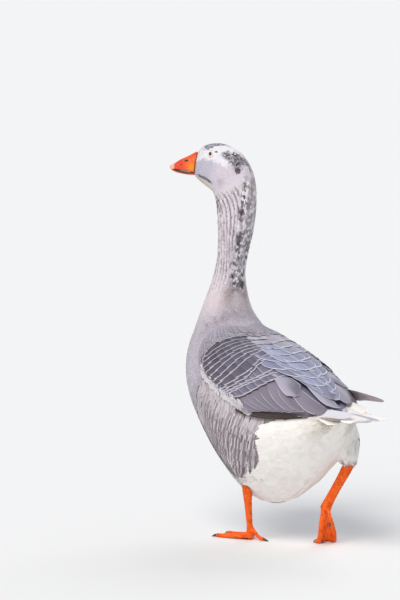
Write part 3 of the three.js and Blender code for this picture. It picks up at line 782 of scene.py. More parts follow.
def flank_tint(colour, fringed, places, around, station, draw):
    down = np.where(around > 0.5, 1 - around, around)
    spotted = (down > flank_edge(station) - 0.03) & (station > 4.6) & (draw.random(len(places)) < 0.5)
    colour = mix(colour, FLANK, rise(0.15, 0.19, down) * (station > 4))
    colour = mix(colour, NECK_PINK, 0.75 * np.maximum(rise(7.2, 8.8, station), 1 - rise(0.17, 0.23, down)))
    colour = mix(colour, FLANK_SPOT, 0.45 * rise(-0.2, 1.3, ripple(places * (1, 1, 0.3), 0.024, 7)))
    return mix(colour, FLANK_SPOT, 0.85 * spotted), draw.uniform(0.45, 1, len(places)) * (1 - 0.6 * spotted)


streaked = plumage_material("flank_plumage", srgb(208, 199, 204), 0.04, 0.62, 26, barb_depth=0.12, shaft=0.5)
for side, label in ((1, "left"), (-1, "right")):
    aim = side_places(side)
    flow = unit(np.array([0, COLUMN_LEAN, -1]))
    around, station, _ = stations_of(aim + flow * 0.024)
    down = np.where(around > 0.5, 1 - around, around)
    kept = (down > 0.19) & (down < flank_edge(station) + 0.01) & (station > 4.0) & (station < 9.6) & (down < 0.47)
    around, station, _ = stations_of(aim)
    coat(
        f"coat_flank_{label}", around[kept], station[kept], length=42, width=13.5, lift=4.4, fringe=1.0,
        material=streaked, seed=48, tint=flank_tint, splay=0.05, aim=aim[kept],
        flow_way=flow, settle=0.72, uneven=(0.85, 1.1), roundness=0.15,
    )

# ---- Coat of the belly and vent ----
# White, loose and downy, it rounds off the underside and runs back under the tail.
downy = plumage_material("belly_plumage", srgb(246, 242, 236), 0.2, 0.3, 20, barb_depth=0.05)


def belly_tint(colour, fringed, places, around, station, draw):
    """White to the very edge of the flank, with a painted dun shadow under the tail."""
    down = np.where(around > 0.5, 1 - around, around)
    tail_shadow = (1 - rise(0.9, 3.2, station)) * rise(0.19, 0.24, down) * (1 - rise(0.34, 0.45, down))
    return mix(np.repeat(BELLY_WHITE[None], len(colour), 0), UNDER_TAIL_SHADE, tail_shadow * draw.uniform(0.45, 1, len(tail_shadow))), fringed


around, station = scatter(
    0.1, 8.6, 6.0, 7.5, 49,
    keep=lambda d, s, a: (d > flank_edge(s - 0.2) - 0.016) & (d > np.interp(s, [0.5, 1.2, 2.2, 4], [0.14, 0.2, 0.222, 0.222])),
)
coat(
    "coat_belly", around, station, length=lambda d, s: np.interp(s, [0, 2, 8], [22, 27, 28]),
    width=15, lift=lambda d, s: np.interp(d - flank_edge(s - 0.2), [-0.016, 0.012], [2.8, 5.4]),
    fringe=0.1, material=downy, seed=50, splay=0.16,
    tint=belly_tint, settle=0.86, uneven=(0.97, 1.03), camber=0.015, roundness=0.05,
)

# ---- Wings ----
# Each folded wing lies on the flank as a shingle of coverts over the long flight feathers. A row is drawn
# by the line of its tips, in shares round the body and stations, from beside the spine outwards.
WING_COVER = [(-1, 5), (0.5, 7), (1.5, 9), (3, 11), (6, 12), (8, 10.5), (9, 8), (9.8, 5), (10.6, 1)]
WING_ROUND = 0.21
PAST_TAIL = 15  # millimetres for each station past the root of the tail
WING_THICK = 0.0005
WING_STOPS = np.array([0, 0.16, 0.36, 0.56, 0.74, 0.87, 0.95, 1.0])
WING_COLUMNS = 7
COVERT_DARK, COVERT_REAR = srgb(80, 73, 84), srgb(98, 91, 106)
BAND_BLUE, SECONDARY = srgb(126, 121, 142), srgb(140, 132, 148)
PRIMARY, TERTIAL, SCAPULAR = srgb(66, 52, 50), srgb(176, 170, 190), srgb(140, 142, 172)
RIDGE_WHITE, WING_FRONT = srgb(226, 221, 226), srgb(168, 161, 176)
EDGE_PALE = srgb(214, 209, 222)


def along_line(line, shares):
    """Places on a line of given points, at shares of its length."""
    return smooth_rows(line, np.asarray(shares) * (len(line) - 1))


def wing_place(side, around, station, high):
    """A place over the wing. high is millimetres above the level at which its feathers lie."""
    share = np.clip(around / WING_ROUND, 0.04, 0.96)
    level = table_value(WING_COVER, station) * (0.5 + 0.5 * np.sin(np.pi * share) ** 0.6)
    held = np.maximum(station, 0.02)
    place = body_point(around if side > 0 else 1 - around, held, level + high)
    return place + ((held - station) * PAST_TAIL * MM)[..., None] * np.array([0, 1, -0.08])


def closed_vanes(name, top, out, colour, fringe, roundness=0.35):
    """Joined closed feathers from the grids of their upper faces, feathers by stops by columns."""
    count, rows, columns = top.shape[:3]
    bottom = top - out * WING_THICK
    ring = np.concatenate([top, bottom[:, :, -2:0:-1]], 2)
    size = ring.shape[2]
    per = rows * size
    side = np.arange(size)
    after = (side + 1) % size
    quads = np.concatenate(
        [np.stack([r * size + side, r * size + after, (r + 1) * size + after, (r + 1) * size + side], -1) for r in range(rows - 1)]
    )
    ends = np.concatenate([side[::-1], (rows - 1) * size + side])
    loops = np.concatenate([quads.ravel(), ends])
    lengths = np.concatenate([np.full(len(quads), 4), [size, size]])
    all_lengths = np.tile(lengths, count)
    mesh = bpy.data.meshes.new(name)
    mesh.vertices.add(count * per)
    mesh.vertices.foreach_set("co", ring.astype(np.float32).ravel())
    mesh.loops.add(len(loops) * count)
    mesh.loops.foreach_set("vertex_index", (loops[None] + per * np.arange(count)[:, None]).ravel().astype(np.int32))
    mesh.polygons.add(len(all_lengths))
    mesh.polygons.foreach_set("loop_start", np.concatenate([[0], np.cumsum(all_lengths)[:-1]]).astype(np.int32))
    mesh.update(calc_edges=True)
    mesh.polygons.foreach_set("use_smooth", np.ones(len(all_lengths), bool))
    lateral = np.linspace(-1, 1, columns)
    u = np.concatenate([lateral, lateral[-2:0:-1]])
    stops = WING_STOPS if rows == len(WING_STOPS) else np.linspace(0, 1, rows)
    vane = np.stack([np.tile(u, rows) * 0.5 + 0.5, np.repeat(stops, size)], -1)[loops]
    mesh.uv_layers.new(name="Vane").data.foreach_set("uv", np.tile(vane, (count, 1)).astype(np.float32).ravel())
    across = math.ceil(math.sqrt(count))
    cell = np.stack([np.arange(count) % across, np.arange(count) // across], -1)
    baked = (cell[:, None] + 0.1 + 0.8 * vane[None]) / across
    mesh.uv_layers.new(name="OFBake").data.foreach_set("uv", baked.reshape(-1, 2).astype(np.float32).ravel())
    full = np.concatenate([colour, np.broadcast_to(fringe[:, None, None, None], colour.shape[:3] + (1,))], -1)
    full = np.concatenate([full, full[:, :, -2:0:-1]], 2)
    paint(mesh, "Plumage", full.reshape(-1, 4))
    crosswise = unit(top[:, :, -1:] - top[:, :, :1])
    facing = out + crosswise * (lateral * roundness)[None, None, :, None]
    facing = np.concatenate([facing, facing[:, :, -2:0:-1]], 2).reshape(count, per, 3)[:, loops]
    upper = np.concatenate([np.where(side < columns - 1, 1, -1)] * (rows - 1))
    sign = np.concatenate([np.repeat(upper, 4), np.full(size, -1), np.full(size, 1)])
    mesh.normals_split_custom_set(unit(facing * sign[None, :, None]).reshape(-1, 3).astype(np.float32))
    return mesh


def wing_vanes(side, inner, outer, high, colour, fringe, draw, corner=0.1, tilt=1.0, crown=0.8, dark=0.25, ragged=0.03):
    """Feathers between their inner and outer edges, each a line of places given as around and station."""
    count = len(inner)
    lateral = np.linspace(-1, 1, WING_COLUMNS)
    reach = 1 - corner * np.abs(lateral) ** 2.6 - ragged * draw.random((count, WING_COLUMNS))
    stops = WING_STOPS[None, :, None] * reach[:, None]
    edges = []
    for lines in (inner, outer):
        at = stops * (lines.shape[1] - 1)
        low = np.minimum(at.astype(int), lines.shape[1] - 2)
        each = np.arange(count)[:, None, None]
        edges.append(lines[each, low] + (lines[each, low + 1] - lines[each, low]) * (at - low)[..., None])
    narrow = 0.72 + 0.28 * rise(0, 0.5, stops)
    spot = edges[0] + (edges[1] - edges[0]) * (0.5 + 0.5 * lateral * narrow)[..., None]
    lift = high[0] + (high[1] - high[0]) * stops**1.2 + crown * (1 - lateral**2) + tilt * lateral
    lift = lift + draw.normal(0, 0.2, count)[:, None, None]
    top = wing_place(side, spot[..., 0], spot[..., 1], lift)
    out = unit(wing_place(side, spot[..., 0], spot[..., 1], lift + 1) - top)
    colour = colour * draw.uniform(0.88, 1.1, (count, 1))
    vane_shade = 1 - dark * (1 - rise(-0.2, 0.6, lateral)) * rise(0.2, 0.7, stops)
    shade = colour[:, None, None] * vane_shade[..., None]
    if side < 0:
        top, out, shade = top[:, :, ::-1], out[:, :, ::-1], shade[:, :, ::-1]
    return top, out, np.clip(shade, 0, 1), np.full(count, float(fringe))


def wing_row(side, tip, length, count, high, colour, fringe, draw, lean=0.006, overlap=1.5, jitter=1.0, start=0.0, **looks):
    """One row of feathers. length is in stations, and lean is how far out they run on their way back."""
    middle = start + (1 - start) * (np.arange(count) + 0.5) / count
    edges = []
    for way in (-1, 1):
        shares = np.clip(middle + way * overlap / 2 / count, 0, 1)
        point = along_line(tip, shares)
        base = point + np.stack([np.full(count, -lean), np.full(count, float(length))], -1)
        edges.append(np.stack([base, point], 1))
    moved = draw.normal(0, 1, (count, 1, 2)) * (0.001, 0.035) * jitter
    first, last = colour if isinstance(colour, tuple) else (colour, colour)
    shade = first + (last - first) * middle[:, None]
    return wing_vanes(side, edges[0] + moved, edges[1] + moved, high, shade, fringe, draw, **looks)


def wing_piece(name, rows, material):
    """Joins rows of wing feathers into one piece."""
    top, out, shade, fringe = (np.concatenate(part) for part in zip(*rows))
    mesh = closed_vanes(name, top, out, shade, fringe)
    mesh.materials.append(material)
    piece = bpy.data.objects.new(name, mesh)
    bpy.context.scene.collection.objects.link(piece)
    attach(piece, "root")
    return piece


covert_finish = plumage_material("covert_plumage", EDGE_PALE, 0.055, 0.05, 46, barb_depth=0.16)
band_finish = plumage_material("band_plumage", EDGE_PALE, 0.06, 0.12, 60, barb_depth=0.16)
flight_finish = plumage_material("flight_plumage", srgb(222, 216, 224), 0.03, 0.13, 90, barb_depth=0.16, shaft=0.5)
mantle_finish = plumage_material("mantle_plumage", srgb(218, 220, 234), 0.07, 0.14, 60, barb_depth=0.12, shaft=0.4)
# Tips of the dark lesser coverts, front row first, and of the two bands and greater coverts behind them.
COVERT_TIPS = [
    [(0.02, 8.5), (0.078, 8.9), (0.155, 8.8)],
    [(0.02, 8.3), (0.1, 8.46), (0.165, 8.6)],
    [(0.02, 7.95), (0.082, 7.98), (0.12, 8.06), (0.176, 8.3)],
    [(0.02, 7.6), (0.084, 7.64), (0.122, 7.66), (0.182, 7.96)],
    [(0.02, 7.25), (0.076, 7.34), (0.144, 7.32), (0.183, 7.6)],
    [(0.02, 7.02), (0.08, 6.96), (0.14, 6.86), (0.183, 7.2)],
    [(0.022, 6.85), (0.07, 6.62), (0.12, 6.42), (0.183, 6.8)],
    [(0.022, 6.4), (0.06, 6.06), (0.11, 5.75), (0.182, 6.45)],
    [(0.02, 5.95), (0.05, 5.9), (0.085, 5.68), (0.115, 5.5), (0.15, 5.85), (0.182, 6.3)],
]
BAND_TIPS = [
    [(0.03, 5.1), (0.09, 5.05), (0.12, 5.36), (0.15, 5.68), (0.182, 6.2)],
    [(0.05, 4.75), (0.104, 4.98), (0.134, 5.34), (0.164, 5.75), (0.182, 6.1)],
    [(0.046, 4.36), (0.086, 4.46), (0.114, 4.68), (0.146, 4.94), (0.17, 5.36), (0.183, 5.92)],
]
SECONDARY_TIPS = [(0.165, 1.8), (0.182, 2.3), (0.185, 2.95), (0.186, 3.5), (0.19, 4.1), (0.198, 4.85)]
SECONDARY_ROOTS = [(0.05, 4.6), (0.082, 4.9), (0.118, 5.2), (0.148, 5.5), (0.165, 5.8), (0.174, 6.2)]
# Inner and outer edge of each of the long inner flight feathers.
TERTIALS = {
    "first": ([(0.044, 4.9), (0.046, 4.2), (0.048, 3.5), (0.09, 2.62)], [(0.082, 4.9), (0.1, 3.95), (0.116, 3.3), (0.12, 2.85)]),
    "second": ([(0.04, 4.3), (0.062, 3.0), (0.085, 1.6), (0.13, -0.1)], [(0.09, 4.0), (0.12, 2.75), (0.17, 1.8), (0.228, 0.4)]),
    "third": ([(-0.004, 4.2), (0.004, 3.1), (0.006, 1.8), (0.03, -1.2)], [(0.04, 4.1), (0.05, 2.7), (0.085, 1.3), (0.12, -0.6)]),
    "fourth": ([(-0.03, 4.4), (-0.036, 3.4), (-0.03, 2.4), (-0.01, 1.2)], [(0.02, 4.3), (0.012, 3.3), (0.02, 2.5), (0.045, 1.3)]),
}
SCAPULAR_TIPS = [(5.3, 0.06), (4.5, 0.07), (3.75, 0.06), (3.0, 0.05), (2.2, 0.045), (1.4, 0.04)]
RIDGE_TIPS = [(0.178, 8.5), (0.184, 8.1), (0.183, 7.4), (0.179, 6.6), (0.178, 5.9), (0.184, 5.2), (0.198, 4.7)]
RIDGE_COUNT = 360
FRONT_TIPS = [(0.0, 8.75), (0.05, 9.1), (0.112, 9.28), (0.155, 8.95), (0.186, 8.2)]


def shifted(line, by):
    return [(around, station + by) for around, station in line]


for side, label in ((1, "left"), (-1, "right")):
    draw = np.random.default_rng(60 + side)
    rows = []
    for number, tips in enumerate(COVERT_TIPS):
        share = number / (len(COVERT_TIPS) - 1)
        dark = COVERT_DARK + (COVERT_REAR - COVERT_DARK) * share
        count = 5 + round(3 * share)
        near = dark + (SCAPULAR - dark) * 0.3
        rows.append(wing_row(side, tips, 1.3 + 0.5 * share, count, (0.2, 4.4), (near, dark), 0.95, draw, jitter=0.12, corner=0.02 + 0.05 * share, ragged=0.015, start=0 if side > 0 else 0.4))
    wing_piece(f"wing_coverts_{label}", rows, covert_finish)
    rows = []
    for number, tips in enumerate(BAND_TIPS):
        rows.append(wing_row(side, tips, 1.5, 9, (-0.8, 2.8 - number * 0.7), BAND_BLUE, 0.95, draw, lean=0.016, jitter=0.2, corner=0.05, ragged=0.015, start=0 if side > 0 else 0.3))
    wing_piece(f"wing_bands_{label}", rows, band_finish)
    inner = np.array([[(0.18 + k, 5.4), (0.187 + k, 3.6), (0.189 + k, 2.2 - 50 * k)] for k in (0, 0.006, 0.012)])
    rows = [wing_vanes(side, inner, inner + (0.013, 0.1), (-5.2, -4.2), np.repeat(PRIMARY[None], 3, 0), 0.3, draw, corner=0.3)]
    middle = (np.arange(8) + 0.5) / 8
    edges = [
        np.stack([along_line(SECONDARY_ROOTS, np.clip(middle + way * 0.1, 0, 1)), along_line(SECONDARY_TIPS, np.clip(middle + way * 0.1, 0, 1))], 1)
        for way in (-1, 1)
    ]
    rows.append(wing_vanes(side, edges[0], edges[1], (-3.4, -1.4), np.repeat(SECONDARY[None], 8, 0), 1.0, draw, corner=0.12, tilt=1.4))
    for name, high, shade, dark in (
        ("second", (-1.6, 1.5), SECONDARY, 0.25),
        ("first", (0.4, 2.6), TERTIAL, 0.6),
        ("third", (1.2, 6.5), TERTIAL, 0.3),
    ):
        inner, outer = (np.array([line]) for line in TERTIALS[name])
        if side < 0:
            inner[..., 1] = inner[..., 1] * 0.72 + 1.15
            outer[..., 1] = outer[..., 1] * 0.72 + 1.15
        rows.append(wing_vanes(side, inner, outer, high, shade[None], 1.0, draw, corner=0.22, dark=dark, ragged=0.015))
    if side > 0:
        inner, outer = (np.array([line]) for line in TERTIALS["fourth"])
        rows.append(wing_vanes(side, inner, outer, (2.5, 7), SCAPULAR[None] * 0.85, 1.0, draw, corner=0.25, dark=0.4))
    wing_piece(f"wing_flights_{label}", rows, flight_finish)
    rows = []
    for station, reach in SCAPULAR_TIPS if side > 0 else [(station + 2.4, 0.085) for station, _ in SCAPULAR_TIPS[:3]] + SCAPULAR_TIPS:
        tips = [(0.002, station - 0.1), (reach * 0.5, station), (reach, station + 0.5)]
        shade = LAVENDER + (SCAPULAR - LAVENDER) * (1 - rise(5.4, 7.4, station))
        rows.append(wing_row(side, tips, 2.1 - 0.2 * rise(5.4, 7.0, station), 2, (1.0, 5.2), shade, 0.95, draw, lean=0.0, overlap=1.35, corner=0.16))
    wing_piece(f"wing_scapulars_{label}", rows, mantle_finish)
    rows = []
    for step in (0.0, 0.3, 0.62):
        rows.append(wing_row(side, shifted(FRONT_TIPS, step), 1.3, 26, (-3 - 2 * step, 5.0 - 2.2 * step), WING_FRONT, 0.7, draw, overlap=1.7, jitter=1.3, corner=0.3))
    wing_piece(f"wing_front_{label}", rows, band_finish)
    spot = along_line(RIDGE_TIPS, draw.random(RIDGE_COUNT)) + draw.normal(0, 1, (RIDGE_COUNT, 2)) * (0.003, 0.1)
    spot[:, 0] -= 0.002
    coat(
        f"wing_ridge_{label}", spot[:, 0] if side > 0 else 1 - spot[:, 0], spot[:, 1], length=9.5, width=4.6, lift=6,
        fringe=0.5, material=downy, seed=69 + side, splay=0.4, settle=1.9,
        tint=lambda colour, fringed, places, around, station, draw: (
            mix(np.repeat(RIDGE_WHITE[None], len(colour), 0), LAVENDER, 0.3 * draw.random(len(colour))), fringed
        ),
        flow_way=unit(np.array([0, 0.35, -1])), uneven=(0.88, 1.12), roundness=0.1, camber=0.03,
    )

# Over the spine a line of broad feathers closes the gap between the wings.
draw = np.random.default_rng(66)
rows = []
for station in np.arange(1.2, 8.4, 0.78)[::-1]:
    tips = [(-0.035, station + 0.15), (0.0, station), (0.035, station + 0.15)]
    # The spine's feathers are a lighter blue-grey, partly their own colour and partly a painted sheen along the top of
    # the back.
    shade = LAVENDER + (srgb(158, 161, 190) - LAVENDER) * (1 - rise(6.2, 7.8, station))
    sunk = rise(5.8, 7.6, station)
    rows.append(wing_row(1, tips, 1.9 - 0.2 * sunk, 3, (2.2 - 3.6 * sunk, 5.6 - 0.8 * sunk), shade, 0.85, draw, lean=0.0, overlap=1.6, corner=0.22))
wing_piece("mantle_spine", rows, mantle_finish)

# Where the two wings meet at the shoulders a patch of small pale-edged feathers stands ruffled.
around, station = scatter(7.4, 9.8, 6.0, 6.5, 67, keep=lambda d, s, a: d < np.interp(s, [7.4, 8.4, 9.8], [0.03, 0.055, 0.06]))
coat(
    "mantle_ruffle", around, station, length=15, width=9,
    lift=lambda d, s: np.interp(s, [7.4, 8.6, 9.8], [11, 9, 6]), fringe=lambda d, s: np.interp(s, [8.8, 10], [1, 0.5]), material=mantle_finish, seed=68,
    splay=0.22, settle=0.8, uneven=(0.92, 1.1),
)

# ---- Folded flight feathers ----
# Behind each wing the closed primaries lie on one another as a narrow blade. They are the longest and
# stiffest feathers, brown-grey with a fine pale edge, and cross above the root of the tail.
LONG_VANE = [(0, 0.3), (0.12, 0.62), (0.35, 0.88), (0.62, 1.0), (0.83, 0.96), (0.93, 0.78), (0.98, 0.45)]
BLADE_VANE = [(0, 0.5), (0.2, 0.85), (0.5, 1.0), (0.72, 0.86), (0.88, 0.58), (0.96, 0.32)]
LEFT_BLADES = [(-150, 60, 275), (-190, 47, 273), (-250, 34, 273), (-322, 29, 278)]
RIGHT_BLADES = [(-120, -90, 299), (-185, -74, 299), (-250, -52, 302), (-345, -27, 305)]
BLADE_COUNT = 7
BLADE_WIDTH = 24
BLADE_SPREAD = 1.4


def placed(rows):
    """Forward, left and height in millimetres as a place in metres."""
    rows = np.asarray(rows, float)
    return np.stack([rows[..., 1], -rows[..., 0] - OUTLINE_MIDDLE, rows[..., 2]], -1) * MM


def blade_piece(name, spine, up, wide, shade, fringe, outline, material, columns=7, camber=0.1, tilt=0.0):
    """Joined vanes whose spines are already in place."""
    along = unit(np.gradient(spine, axis=1))
    across = unit(np.cross(along, up))
    up = unit(np.cross(across, along))
    count = len(wide)
    side = math.ceil(math.sqrt(count))
    cell = np.stack([np.arange(count) % side, np.arange(count) // side], -1) / side
    patch = 0.8 / side
    mesh = vanes(name, spine, across, up, wide, shade, fringe, outline=outline, columns=columns, camber=camber, unwrap=(cell + 0.1 / side) / (1 - patch), patch=patch, tilt=tilt)
    mesh.materials.append(material)
    piece = bpy.data.objects.new(name, mesh)
    bpy.context.scene.collection.objects.link(piece)
    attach(piece, "root")
    return piece


blade_shares = np.array([v for v, _ in BLADE_VANE] + [1.0])
for side, label, path in ((1, "left", LEFT_BLADES), (-1, "right", RIGHT_BLADES)):
    draw = np.random.default_rng(80 + side)
    number = np.arange(BLADE_COUNT)
    reach = 1 - 0.09 * (BLADE_COUNT - 1 - number)
    stops = reach[:, None] * (0.1 + 0.9 * blade_shares[None])
    spine = smooth_rows(path, stops * (len(path) - 1))
    spine[..., 1] += side * (BLADE_SPREAD * (BLADE_COUNT - 1 - number)[:, None] * (1 - 0.4 * stops))
    spine[..., 2] += (2.2 - 1.5 * (BLADE_COUNT - 1 - number))[:, None] * (1 - 0.5 * stops)
    up = unit(np.repeat([[side * 0.75, 0, 0.66]], BLADE_COUNT, 0))[:, None] + np.zeros_like(spine)
    # The near blade is painted nearly white and the far blade a darker pinkish grey.
    tone = srgb(226, 224, 232) if side > 0 else srgb(188, 170, 176)
    shade = np.repeat(tone[None], BLADE_COUNT, 0) * draw.uniform(0.85, 1.1, (BLADE_COUNT, 1))
    piece = blade_piece(
        f"primaries_{label}", placed(spine), up, np.full(BLADE_COUNT, BLADE_WIDTH * MM), shade,
        np.full(BLADE_COUNT, 0.8), BLADE_VANE, flight_finish,
    )
    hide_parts(f"wing_{label}_tip")

# ---- Tail ----
# Sixteen broad white tail feathers, blue-grey in the middle ones, are fanned a little and overlap from the
# centre outwards. Coverts fold over their roots above and below.
TAIL_COUNT = 16
TAIL_ROOT, TAIL_TIP = (-222, 3.0, 277), (-332, 5.0, 267)
TAIL_SWING, TAIL_ROLL = 14, -0.03
TAIL_VANE = [(0, 0.5), (0.2, 0.8), (0.5, 0.98), (0.75, 1.0), (0.9, 0.88), (0.97, 0.62)]
tail_finish = plumage_material("tail_plumage", srgb(246, 245, 250), 0.05, 0.14, 80, barb_depth=0.1, shaft=0.5)
draw = np.random.default_rng(90)
shares = np.array([v for v, _ in TAIL_VANE] + [1.0])
place_in_fan = np.linspace(-1, 1, TAIL_COUNT) * (TAIL_COUNT / 2)
order = np.abs(place_in_fan) / (TAIL_COUNT / 2)
ahead = TAIL_ROOT[0] + (TAIL_TIP[0] + 8 * order**2 - TAIL_ROOT[0])[:, None] * shares
left = place_in_fan[:, None] * (TAIL_ROOT[1] + (TAIL_TIP[1] - TAIL_ROOT[1]) * shares) - TAIL_SWING * shares
height = TAIL_ROOT[2] - (TAIL_ROOT[2] - TAIL_TIP[2]) * shares**0.8 - TAIL_ROLL * left + draw.normal(0, 0.5, TAIL_COUNT)[:, None]
spine = placed(np.stack([ahead, left, height], -1))
up = unit(np.stack([0.12 + 0.3 * np.maximum(place_in_fan, 0) / TAIL_COUNT, 0 * order, np.ones(TAIL_COUNT)], -1))[:, None] + np.zeros_like(spine)
shade = BELLY_WHITE + (srgb(158, 158, 184) - BELLY_WHITE) * (0.9 * (1 - rise(0.15, 0.45, order)))[:, None]
tail_piece = blade_piece(
    "tail_feathers", spine, up, np.full(TAIL_COUNT, 0.024), shade, np.full(TAIL_COUNT, 1.0), TAIL_VANE,
    tail_finish, tilt=np.sign(place_in_fan) * -0.0008,
)
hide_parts("tail")

for name, level, ahead_of_tail, tint_colour, count, long, seed in (
    ("tail_coverts_upper", 285, -196, srgb(176, 178, 204), 56, 62, 91),
    ("tail_coverts_under", 254, -196, BELLY_WHITE, 60, 70, 92),
):
    draw = np.random.default_rng(seed)
    upper = 1 if level > 270 else -1
    back = draw.uniform(0, 1, count)
    aside = draw.uniform(-1, 1, count)
    shares = np.array([v for v, _ in LONG_VANE] + [1.0])
    ahead = (ahead_of_tail - 26 * back)[:, None] - long * shares[None]
    left = (aside * 34)[:, None] * (1 + 0.25 * shares[None])
    fall = 16 * (shares[None] + 0.3 * back[:, None]) if upper > 0 else -6 * (shares[None] + 0.3 * back[:, None])
    rounded = np.where((aside < 0) & (upper > 0), 9.0, -7.0 * upper) * aside**2
    height = level - fall + rounded[:, None] + draw.normal(0, 0.6, count)[:, None]
    spine = placed(np.stack([ahead, left, height], -1))
    up = unit(np.stack([0.35 * (np.abs(aside) if upper > 0 else aside), 0 * aside, np.full(count, 1.0 * upper)], -1))[:, None] + np.zeros_like(spine)
    shade = np.repeat(tint_colour[None], count, 0) * draw.uniform(0.92, 1.05, (count, 1))
    # The under coverts are painted dun as shadow beneath the tail.
    shade = mix(shade, UNDER_TAIL_SHADE, draw.uniform(0.6, 1, count)) if upper < 0 else mix(shade, BELLY_WHITE, rise(0.25, 0.7, np.abs(aside)))
    blade_piece(name, spine, up, np.full(count, 0.022), np.clip(shade, 0, 1), np.full(count, 0.8), LONG_VANE, tail_finish, columns=5)

# ---- Coat of the thighs ----
# Short white feathers close round each thigh and end in a ragged cuff just above the hock.
LEFT_THIGH = [(-50, 84, 200, 38, 54), (-39, 78, 166, 33, 44), (-30, 70, 138, 25, 31), (-25, 63, 119, 14, 17)]
RIGHT_THIGH = [(-130, -72, 222, 38, 54), (-161, -72, 198, 31, 42), (-182, -68, 173, 19, 25), (-189, -65, 157, 12, 14)]
THIGH_ROWS, THIGH_ROUND = 26, 54


def thigh_coat(name, table, seed):
    """Feathers on one thigh, pointing down it, from a table of its middle and its half sizes."""
    draw = np.random.default_rng(seed)
    row, turn = np.meshgrid(np.arange(THIGH_ROWS), np.arange(THIGH_ROUND), indexing="ij")
    at = (row.ravel() + draw.uniform(-0.3, 0.3, row.size)) / THIGH_ROWS * (len(table) - 1)
    angle = (turn.ravel() + 0.5 * (row.ravel() % 2) + draw.uniform(-0.2, 0.2, row.size)) / THIGH_ROUND * 2 * np.pi
    body = smooth_rows(table, at)
    axis = unit(placed(table[-1][:3]) - placed(table[0][:3]))
    wide = unit(np.array([1, 0, 0]) - axis * axis[0])
    deep = np.cross(axis, wide)
    aim = placed(body[:, :3]) + (wide * (np.cos(angle) * body[:, 3])[:, None] + deep * (np.sin(angle) * body[:, 4])[:, None]) * MM
    around, station, _ = stations_of(aim)
    return aim, around, station, axis


for name, table, seed in (("coat_thigh_left", LEFT_THIGH, 95), ("coat_thigh_right", RIGHT_THIGH, 96)):
    aim, around, station, axis = thigh_coat(name, table, seed)
    coat(
        name, around, station, length=24, width=11, lift=3.2, fringe=0.3, material=downy,
        seed=seed, flow_way=axis, aim=aim, splay=0.25,
        tint=lambda colour, fringed, places, around, station, draw: (np.repeat(BELLY_WHITE[None], len(colour), 0), fringed),
    )

# ---- Bill ----
# A goose's bill is horn over bone: two mandibles with comb-like edges that meet on the gape, an open
# nostril each side, and a paler hard nail at the tip. The horn is orange, redder along the ridge.
BILL_VOXEL = 0.0006
BILL_AXIS = (178, 240)
NOSTRIL = {"ahead": 203, "height": 734.5, "long": 5.0, "high": 1.9, "deep": 2.0}
GAPE_BACK, GAPE_FRONT = (184, 711), (240, 718)
LAMELLA_GAP = 1.9


def in_head_line(places):
    """Forward, left and height in millimetres in the head's own line, undoing its turn."""
    ahead = -places[:, 1] / MM - OUTLINE_MIDDLE - NECK_AXIS
    left = places[:, 0] / MM
    cosine, sine = math.cos(HEAD_TURN), math.sin(HEAD_TURN)
    return NECK_AXIS + ahead * cosine + left * sine, -ahead * sine + left * cosine, places[:, 2] / MM


def horn_mesh(voxel, evenings, *names):
    """A smooth even copy of some of the frame's solids."""
    mesh = remeshed(merged_copy(*names), voxel)
    relax(mesh, evenings)
    return mesh


def add_piece(name, mesh, material, slot, *nodes_replaced):
    mesh.materials.clear()
    mesh.materials.append(material)
    mesh.polygons.foreach_set("use_smooth", np.ones(len(mesh.polygons), bool))
    piece = bpy.data.objects.new(name, mesh)
    bpy.context.scene.collection.objects.link(piece)
    if nodes_replaced:
        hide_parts(*nodes_replaced)
    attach(piece, "root")
    return piece


BILL_ORANGE, BILL_RED, BILL_YELLOW = srgb(232, 86, 20), srgb(214, 48, 30), srgb(248, 142, 8)
# Dark of the painted shade in the gape and the nostril, and of one small speck.
BILL_SHADE_AND_SPECK, BILL_PINK, LAMELLA_PALE = srgb(46, 18, 14), srgb(240, 176, 150), srgb(248, 226, 196)


def gape_height(ahead):
    return np.interp(ahead, [GAPE_BACK[0], 200, 225, GAPE_FRONT[0]], [GAPE_BACK[1], 712.2, 716.4, GAPE_FRONT[1]])


def bill_colours(mesh):
    ahead, left, height = in_head_line(points_of(mesh))
    places = points_of(mesh)
    along = (ahead - BILL_AXIS[0]) / (BILL_AXIS[1] - BILL_AXIS[0])
    colour = np.repeat(BILL_ORANGE[None], len(places), 0)
    glow = np.exp(-(((along - 0.2) / 0.16) ** 2) - (((height - 722) / 9) ** 2))
    colour = mix(colour, BILL_YELLOW, 0.95 * glow)
    colour = mix(colour, BILL_RED, 0.8 * rise(0.36, 0.6, along) * (0.75 + 0.25 * ripple(places, 0.012, 31)))
    colour = mix(colour, BILL_RED, 0.7 * rise(740, 750, height) * (1 - rise(0.1, 0.25, along)))
    colour = mix(colour, BILL_PINK, rise(0.74, 0.86, along) * 0.6)
    above = height - gape_height(ahead)
    opening = np.interp(ahead, [184, 190, 204, 222, 238], [0.2, 1.8, 4.2, 2.6, 0.9])
    # The gape is painted dark as the shade inside the mouth's opening.
    colour = mix(colour, BILL_SHADE_AND_SPECK, 0.9 * rise(-opening - 0.6, -opening, above) * (1 - rise(0.6 * opening, opening, above)))
    comb = (np.sin(2 * np.pi * ahead / LAMELLA_GAP) > -0.3) * np.exp(-(((above - 0.9) / 1.1) ** 4)) * rise(192, 195, ahead) * (1 - rise(214, 217, ahead))
    colour = mix(colour, LAMELLA_PALE, comb * 0.85)
    hole = ((ahead - NOSTRIL["ahead"]) / NOSTRIL["long"]) ** 2 + ((height - NOSTRIL["height"] + 0.12 * (ahead - NOSTRIL["ahead"])) / NOSTRIL["high"]) ** 2
    # The nostril's hollow is painted dark as shade.
    colour = mix(colour, BILL_SHADE_AND_SPECK, 1 - rise(0.45, 1.1, hole))
    # A small dark speck is painted ahead of the nostril.
    speck = 1 - rise(0.5, 1.2, ((ahead - 213) / 2.6) ** 2 + ((height - 726.5) / 1.7) ** 2)
    return mix(colour, BILL_SHADE_AND_SPECK, speck * 0.7)


